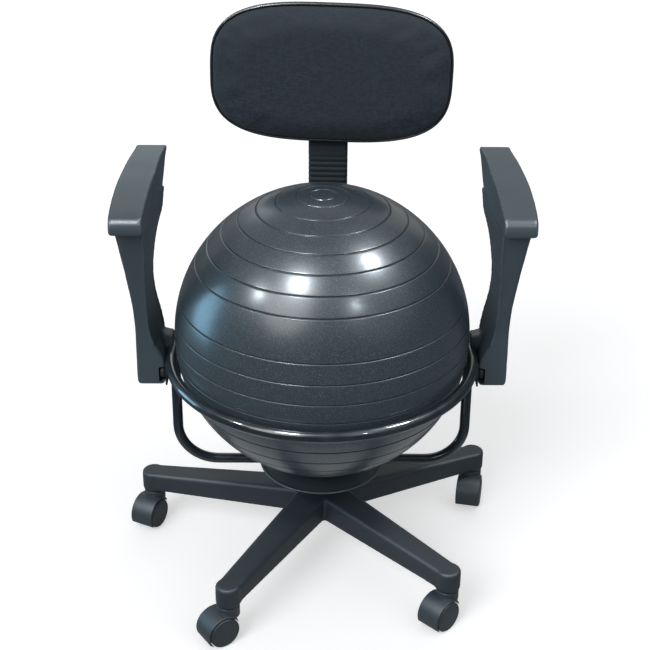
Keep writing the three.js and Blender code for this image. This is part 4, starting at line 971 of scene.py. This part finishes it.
PAD_REAR, PAD_LENGTH, PAD_OFFSET, PAD_HALF, TOE_IN = 141.0, 255.0, 43.5, 25.4, 21.0
BEAD_RADIUS, LUG_HALF, LUG_ROWS = 2.7, 12.6, (18.5, 22, 30, 38, 45.5)
ARM_PAD = (
    (0, 1.006, 0.988, 1, 0.02, 0),
    (0.015, 1.012, 0.984, 0.99, 0.05, 0),
    (0.08, 1.014, 0.974, 0.92, 0.1, 0.02),
    (0.25, 1.01, 0.92, 0.62, 0.3, 0.12),
    (0.4, 1, 0.892, 0.38, 0.4, 0.27),
    (0.55, 0.989, 0.874, 0.19, 0.45, 0.3),
    (0.7, 0.973, 0.862, 0.07, 0.26, 0.27),
    (0.84, 0.956, 0.857, 0.02, 0.04, 0.22),
    (0.93, 0.943, 0.856, 0.03, 0, 0.15),
    (0.965, 0.935, 0.859, 0.05, 0, 0.12),
    (0.99, 0.918, 0.865, 0.07, 0, 0.09),
    (1, 0.897, 0.874, 0.09, 0, 0.07),
)


# %% Upright, pad, rims and lug
def upright_mesh():
    """A row of UPRIGHT is the share of the height, front, rear, two inner edges and the outer face."""
    rings = []
    for share in steps_of(UPRIGHT, 5):
        _, front, rear, inner_front, inner_rear, outer = smooth_table(UPRIGHT, share)
        z = ARM_FOOT + share * ARM_RISE
        low, high = FOOT_FRONT - front * ARM_SWEEP, FOOT_REAR + rear * ARM_SWEEP
        a, b, c = (ARM_INNER + s * ARM_WIDTH for s in (inner_front, inner_rear, outer))
        rings.append([(x, y, z) for x, y in soft([(a, low), (c, low), (c, high), (b, high)], 5.0, True, 5)])
    return skin(rings)


def arm_pad_mesh():
    """A row of ARM_PAD is the share from rear to front, top, underside, toe-in and two widenings inwards."""
    rings = []
    for share in steps_of(ARM_PAD, 5):
        _, top, foot, toe, spread, wider = smooth_table(ARM_PAD, share)
        y = PAD_REAR - share * PAD_LENGTH
        middle = ARM_INNER + PAD_OFFSET - toe * TOE_IN
        high, low = ARM_FOOT + top * ARM_RISE, ARM_FOOT + foot * ARM_RISE
        left, right = middle - PAD_HALF - wider * TOE_IN, middle + PAD_HALF
        ring = [(left - spread * TOE_IN, low), (right, low), (right, high), (left, high)]
        rings.append([(x, y, z) for x, z in soft(ring, min(5.5, (high - low) * 0.4), True, 5)])
    return skin(rings)


def rim_meshes():
    """Raised beads along the inner edge of the pad's top and along both inner edges of the upright."""
    front, rear, pad_edge = [], [], []
    for share in steps_of(UPRIGHT[4:], 4):
        _, low, high, inner_front, inner_rear, _ = smooth_table(UPRIGHT, share)
        z = ARM_FOOT + share * ARM_RISE
        x, y = ARM_INNER + inner_front * ARM_WIDTH, FOOT_FRONT - low * ARM_SWEEP
        front.append(Vector((x + 1.6, y + 1.4, z)))
        x, y = ARM_INNER + inner_rear * ARM_WIDTH, FOOT_REAR + high * ARM_SWEEP
        rear.append(Vector((x + 1.6, y - 1.8, z)))
    for share in steps_of(ARM_PAD[1:-2], 4):
        _, top, _, toe, _, wider = smooth_table(ARM_PAD, share)
        x = ARM_INNER + PAD_OFFSET - toe * TOE_IN - PAD_HALF - wider * TOE_IN
        pad_edge.append(Vector((x + 1.8, PAD_REAR - share * PAD_LENGTH, ARM_FOOT + top * ARM_RISE - 1.8)))
    return [sweep(path, BEAD_RADIUS, 10, up=Vector((1, 0, 0.05))) for path in (front, rear, pad_edge)]


def lug_mesh():
    """The lip of the foot that reaches over the ring."""
    foot = RING_HEIGHT + RING_TUBE + 0.3
    left, right = ARM_INNER - LUG_HALF, ARM_INNER + LUG_HALF
    line = [(left, foot - 6), (right, foot - 6), (right, foot + 34),
            (ARM_INNER + 4, foot + 21), (left, foot + 17)]
    return slab(soft(line, 2.5, True), *LUG_ROWS)


print("arm sections:", len(UPRIGHT), "for the upright and", len(ARM_PAD), "for the pad")

# %% Cast and cut the arms
BOLT_HEIGHT, BOLT_HOLE, SPACER_PLACE, SPACER_RADIUS, SPACER_DEPTH = RING_HEIGHT - 25, 4.3, -9.0, 13, 10
NOTCH_RADIUS, NOTCH_DEPTH = 15.4, 10.6
to_spacer = Matrix.Translation((ARM_INNER, SPACER_PLACE, BOLT_HEIGHT)) @ turn(90, "Y")


def mirrored(made, sign):
    """Turns a right-hand piece into a left-hand one where sign is -1."""
    if sign < 0:
        made.data.transform(Matrix.Scale(-1, 4, (1, 0, 0)))
        made.data.flip_normals()
    return made


def arm_piece(side, sign):
    arm = workpiece(f"arm_{side}", join(upright_mesh(), arm_pad_mesh(), lug_mesh(), *rim_meshes()))
    cast(arm, 2.0, 3)
    carve(arm, hoop(RING_TUBE + 0.3))
    carve(arm, moved(lathe(soft(rod(NOTCH_RADIUS, -3, NOTCH_DEPTH), 5.0, steps=6), 48), to_spacer))
    mouth = soft(oblong(-3, -NOTCH_RADIUS, NOTCH_DEPTH, NOTCH_RADIUS), 5.0, steps=6)
    carve(arm, slab([(ARM_INNER + x, BOLT_HEIGHT + z) for x, z in mouth], -30, SPACER_PLACE))
    make(mirrored(arm, sign), arm_plastic, "seat_frame", [f"armrest_{side}"], angle=42)


def spacer_piece(side, sign):
    """A rubber ring with a domed end, on the bolt between foot and seat ring."""
    profile = soft(oblong(BOLT_HOLE, 0, SPACER_RADIUS, SPACER_DEPTH), 4.5, steps=6)
    spacer = workpiece(f"spacer_{side}", moved(lathe(profile + profile[:1], 48), to_spacer))
    make(mirrored(spacer, sign), spacer_rubber, "seat_frame", [f"arm_spacer_{side}"])


for side, sign in SIDES:
    arm_piece(side, sign)
    spacer_piece(side, sign)

# %% [markdown]
# ## Backrest cushion
# The cushion is foam under cloth, wider than high, with sides that bulge and a gently crowned front. Foam
# wrapped in cloth takes the shape that tension gives it, so the cloth is simulated: a slightly small pad is
# remeshed evenly, its rear is pinned to the board, and air pressure fills it. The seam comes afterwards,
# because a remesh would wipe it out.

# %% Backrest outline
BRACKET_DEPTH = 7.2
BAR_FRONT = RING_RADIUS + RING_TUBE + 0.3
BOARD_REAR = BAR_FRONT - 0.5 - BRACKET_DEPTH - 0.3
BOARD_FRONT = BOARD_REAR - 7
CUSHION_REAR = BOARD_FRONT - 0.3
CUSHION_DEPTH = 31.0
BACK_CENTRE = BALL_MIDDLE.z / MM + 369
BACK_WIDE, BACK_HIGH, SQUARENESS = 210.5, 124.5, 3.2
BACK_OFFSET, BACK_ROLL, BACK_TURN = 5.0, math.radians(1.2), -2.0
stand_back = turn(BACK_TURN)


def back_ring(inset, y, points=120):
    """The backrest's outline, a rounded rectangle that bulges on all four sides."""
    ring = []
    for i in range(points):
        angle = 2 * math.pi * i / points
        c, s = math.cos(angle), math.sin(angle)
        wide = (BACK_WIDE - inset) * math.copysign(abs(c) ** (2 / SQUARENESS), c)
        high = (BACK_HIGH - inset) * math.copysign(abs(s) ** (2 / SQUARENESS), s)
        x = wide * math.cos(BACK_ROLL) + high * math.sin(BACK_ROLL)
        z = high * math.cos(BACK_ROLL) - wide * math.sin(BACK_ROLL)
        ring.append((BACK_OFFSET + x, y, BACK_CENTRE + z))
    return ring


print("backrest:", 2 * BACK_WIDE, "by", 2 * BACK_HIGH, "mm, middle at", round(BACK_CENTRE), "mm")

# %% Fill the cushion
PINCH, SIDE_REACH, HELD_DEPTH = 3.0, 0.8, 2.5
PRESSURE, SIM_FRAMES, MOST_SWELL = 2.5, 20, 4.0
CUSHION_SIDE = (
    (0.0, 0.0), (0.2, -0.02), (0.4, -0.005), (0.58, 0.025), (0.74, 0.07), (0.87, 0.15),
    (0.94, 0.26), (0.98, 0.45), (1.0, 0.92),
)


def cushion_start():
    """The pad before it is filled: smaller all round, with its outline shrinking towards the front."""
    front = CUSHION_REAR - CUSHION_DEPTH + PINCH
    rings = [back_ring(PINCH + share * SIDE_REACH * BACK_HIGH, CUSHION_REAR - (CUSHION_REAR - front) * depth)
             for depth, share in CUSHION_SIDE]
    return skin(rings)


def fill(made):
    """Blows cloth out with air pressure, and holds what touches the board."""
    rest = [v.co.copy() for v in made.data.vertices]
    held = made.vertex_groups.new(name="held")
    rear = (CUSHION_REAR - HELD_DEPTH) * MM
    held.add([v.index for v in made.data.vertices if v.co.y > rear], 1.0, "REPLACE")
    modify(made, "CLOTH")
    cloth = made.modifiers["cloth"]
    cloth.settings.use_pressure = True
    cloth.settings.uniform_pressure_force = PRESSURE
    cloth.settings.effector_weights.gravity = 0.0
    cloth.settings.vertex_group_mass = "held"
    cloth.settings.quality = 6
    cloth.point_cache.frame_start, cloth.point_cache.frame_end = 1, SIM_FRAMES
    for step in range(1, SIM_FRAMES + 1):
        bpy.context.scene.frame_set(step)
    settle(made)
    bpy.context.scene.frame_set(1)
    for vertex, start in zip(made.data.vertices, rest):
        move = vertex.co - start
        if move.length > MOST_SWELL * MM:
            vertex.co = start + move.normalized() * MOST_SWELL * MM
    return made


cushion = workpiece("back_pad", cushion_start())
modify(cushion, "REMESH", mode="VOXEL", voxel_size=5 * MM)
settle(cushion)
fill(cushion)
modify(cushion, "SMOOTH", factor=0.5, iterations=10)
modify(cushion, "SUBSURF", levels=1, render_levels=1)
settle(cushion)

# %% Seam of the cushion
SEAM_FROM_REAR, SEAM_WIDTH, SEAM_DEPTH = 7.0, 2.6, 2.0
PIPING_RADIUS = 2.6


def sew_seam(made):
    """Pulls in a line round the side where the front panel is sewn to the band."""
    seam = (CUSHION_REAR - SEAM_FROM_REAR) * MM
    middle = Vector((BACK_OFFSET * MM, 0, BACK_CENTRE * MM))
    for vertex in made.data.vertices:
        off = (vertex.co.y - seam) / (SEAM_WIDTH * MM)
        if abs(off) > 3 or vertex.co.y > (CUSHION_REAR - 1) * MM:
            continue
        out = vertex.co - middle
        out.y = 0
        if out.length > 0.1:  # metres: the broad front and rear faces stay as they are
            vertex.co -= out.normalized() * SEAM_DEPTH * MM * math.exp(-off * off)


sew_seam(cushion)
cushion.data.transform(stand_back)
make(cushion, cloth_finish, "backrest", ["back_cushion"], angle=75)
low, high = (Vector(f(v.co[i] for v in cushion.data.vertices) for i in range(3)) for f in (min, max))
print("cushion in mm:", [round(c / MM, 1) for c in low], [round(c / MM, 1) for c in high])
piping_path = [Vector(point) for point in back_ring(PIPING_RADIUS, CUSHION_REAR - SEAM_FROM_REAR, 180)]
piping = moved(sweep(piping_path, PIPING_RADIUS, 14, closed=True), stand_back)
make(workpiece("back_piping", piping), piping_vinyl, "backrest", angle=80)

# %% [markdown]
# ## Rear shell
# A shallow moulded bowl closes the back of the backrest. It is open at the bottom for the bar, and a knob
# clamps the height. The bowl is a loft of shrinking outlines, drawn twice a wall apart so that it has a
# real thickness, and its rim is rolled. The opening is cut with a rounded block.

# %% Rear shell
SHELL_DEPTH, SHELL_WALL = 35.0, 2.6
SHELL_SIDE = ((0.0, 0.022), (0.08, 0.012), (0.25, 0.03), (0.55, 0.10), (0.8, 0.22), (0.94, 0.36), (1.0, 0.5))
SHELL_REAR = BOARD_FRONT + SHELL_DEPTH
BRACKET_FOOT, STUD_RISE = BACK_CENTRE - 121.7, 44.7
STUD_HEIGHT = BRACKET_FOOT + STUD_RISE
SLOT_HALF = 39


def shell_rings(inset, depth, start):
    """One skin of the bowl, from its rim to its middle."""
    rings = []
    for share in steps_of(SHELL_SIDE, 3):
        _, inset_share = smooth_table(SHELL_SIDE, share)
        rings.append(back_ring(inset_share * BACK_HIGH + inset, start + share * depth, 160))
    last = rings[-1]
    centre = Vector((BACK_OFFSET, last[0][1], BACK_CENTRE))
    rings.append([tuple(centre + (Vector(p) - centre) * 0.5) for p in last])
    rings.append([tuple(centre)] * len(last))
    return rings


def shell_piece():
    outer = shell_rings(0, SHELL_DEPTH, BOARD_FRONT)
    inner = shell_rings(SHELL_WALL, SHELL_DEPTH - SHELL_WALL, BOARD_FRONT)
    shell = workpiece("back_cover", skin(list(reversed(inner)) + outer, caps=False))
    slot = oblong(-SLOT_HALF, BACK_CENTRE - BACK_HIGH - 20, SLOT_HALF, STUD_HEIGHT - 10.3)
    carve(shell, slab(soft(slot, 6.0, True), BOARD_FRONT - 6, SHELL_REAR + 6))
    hole = moved(lathe(rod(BOLT_HOLE, 0, 60), 32), turn(-90, "X"))
    carve(shell, moved(hole, Matrix.Translation((0, BOARD_FRONT + 12, STUD_HEIGHT))))
    shell.data.transform(stand_back)
    return make(shell, shell_plastic, "backrest", ["back_shell"], angle=45)


shell_piece()

# %% [markdown]
# ## Knob
# The clamp knob has six soft lobes for the fingers. Its outline is a circle with a ripple, and the rows of
# that outline shrink towards both faces so that every edge is rounded.

# %% Knob
KNOB_RADIUS, KNOB_DEPTH, KNOB_LOBES = 21.0, 16.0, 6
KNOB_FRONT = SHELL_REAR + 1.0
KNOB_SIDE = (
    (0.0, 3.5), (0.03, 1.6), (0.1, 0.4), (0.25, 0.0), (0.7, 0.0), (0.88, 0.5), (0.96, 1.7), (1.0, 3.8),
)
KNOB_CAP = ((14.0, 0.0), (12.8, 0.9), (0.0, 0.9))


def knob_ring(radius, depth, ripple=0.0):
    """A row of points round the stud, with lobes where ripple isn't 0."""
    ring = []
    for i in range(120):
        angle = 2 * math.pi * i / 120
        reach = radius - ripple * (1 - math.cos(KNOB_LOBES * angle))
        ring.append((reach * math.cos(angle), KNOB_FRONT + depth, STUD_HEIGHT + reach * math.sin(angle)))
    return ring


def knob_piece():
    rings = [knob_ring(0, 0)]
    rings += [knob_ring(KNOB_RADIUS - 0.2 - inset, share * KNOB_DEPTH, 1.2) for share, inset in KNOB_SIDE]
    rings += [knob_ring(radius, KNOB_DEPTH - sunk) for radius, sunk in KNOB_CAP]
    knob = skin(rings, caps=False)
    knob.transform(stand_back)
    return make(workpiece("knob_moulded", knob), knob_plastic, "clamp", ["clamp_knob"])


knob_piece()

# %% [markdown]
# ## Boot
# A ribbed boot hides the bar between seat and backrest, and stretches as the backrest is raised. Its ribs
# must be real shapes, since they show at its edges. Rounded rectangles are stacked upwards with a ripple in
# their size.

# %% Boot
BOOT_RIBS, BOOT_CUFF, BOOT_ROWS = 21, 10.0, 8
BOOT_WIDE, BOOT_DEEP, BOOT_CORNER, BOOT_WALL = 35.0, 16.0, 7.0, 5
RIB_DEPTH, PLAIN_TOP, RIB_FADE, FAINTEST_RIB = 1.2, 30.0, 14.0, 0.12
BOOT_FOOT, BOOT_TOP = foot_and_top("bellows_boot")
BAR_MIDDLE = BAR_FRONT + 3


def boot_ring(wide, deep, corner, z):
    outline = soft(oblong(-wide, -deep, wide, deep), corner, True, 6)
    return [(x, BAR_MIDDLE + y, z) for x, y in outline]


def boot_piece():
    """Two plain cuffs with ribs between them, which fade towards the top."""
    length = BOOT_TOP - BOOT_FOOT - 2 * BOOT_CUFF
    rows = [(BOOT_FOOT, 1.0), (BOOT_FOOT + 0.8, 0.0), (BOOT_FOOT + BOOT_CUFF - 1.0, 0.0)]
    for i in range(BOOT_RIBS * BOOT_ROWS):
        t = i / BOOT_ROWS
        dip = (0.5 - 0.5 * math.cos(2 * math.pi * t)) ** 1.6
        z = BOOT_FOOT + BOOT_CUFF + t * length / BOOT_RIBS
        share = min(max((BOOT_TOP - z - PLAIN_TOP) / RIB_FADE, FAINTEST_RIB), 1.0)
        rows.append((z, RIB_DEPTH * dip * share))
    rows += [(BOOT_TOP - BOOT_CUFF, 0.0), (BOOT_TOP - 0.8, 0.0), (BOOT_TOP, 1.0)]
    outer = [boot_ring(BOOT_WIDE - dip, BOOT_DEEP - dip, BOOT_CORNER, z) for z, dip in rows]
    inner = [boot_ring(BOOT_WIDE - BOOT_WALL, BOOT_DEEP - BOOT_WALL, 4.0,
                       BOOT_FOOT + (BOOT_TOP - BOOT_FOOT) * k / 24) for k in range(25)]
    mesh = skin(outer + list(reversed(inner)) + outer[:1], caps=False)
    mesh.transform(stand_back)
    boot = make(workpiece("boot_folds", mesh), boot_rubber, None, ["bellows_boot"], 50)
    start, end = ((0, BAR_MIDDLE * MM, z * MM) for z in (BOOT_FOOT + BOOT_CUFF, BOOT_TOP - BOOT_CUFF))
    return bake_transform(boot)


boot_piece()

# %% [markdown]
# ## Fittings that stay as they are
# Bolts, stems, axles, tabs, the bar and the board have the right shape in the frame already. They keep
# their meshes and get a fitting finish, and all but the rubber plug get a small bevel, which a modifier
# adds without touching the mesh.

# %% Dress the carried fittings
FASTENERS = [f"{kind}_{side}" for kind in ("back_bar_bolt", "bracket_screw") for side, _ in SIDES]
FASTENERS += [f"arm_bolt_{side}_{end}" for side, _ in SIDES for end in ("front", "rear")]
CARRIED = (
    (black_paint, 0.8, ("back_bar", "mounting_plate", "back_bracket", "arm_tab_right", "arm_tab_left")),
    (ply_finish, 0.6, ("back_board",)),
    (black_rubber, 0.0, ("valve_plug",)),
    (zinc_finish, 0.25, tuple(f"caster_{k}_{bit}" for k in range(1, 6) for bit in ("stem", "axle"))),
    (zinc_finish, 0.3, ("post_clip", "clamp_stud", *FASTENERS)),
)
for finish, bevel, names in CARRIED:
    for name in names:
        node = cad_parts[name]
        node.data.materials.clear()
        node.data.materials.append(finish.material)
        if bevel:
            modify(node, "BEVEL", width=bevel * MM, segments=2, limit_method="ANGLE",
                   angle_limit=math.radians(40))
shown = [name for name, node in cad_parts.items() if not node.hide_render]
dressed = {name for _, _, names in CARRIED for name in names}
print("carried fittings:", len(shown), "not dressed:", sorted(set(shown) - dressed))

# %% [markdown]
# ## Colour
# The colour is shown plainly, without a film look.

# %% Plain colour
bpy.context.scene.view_settings.view_transform = "Standard"
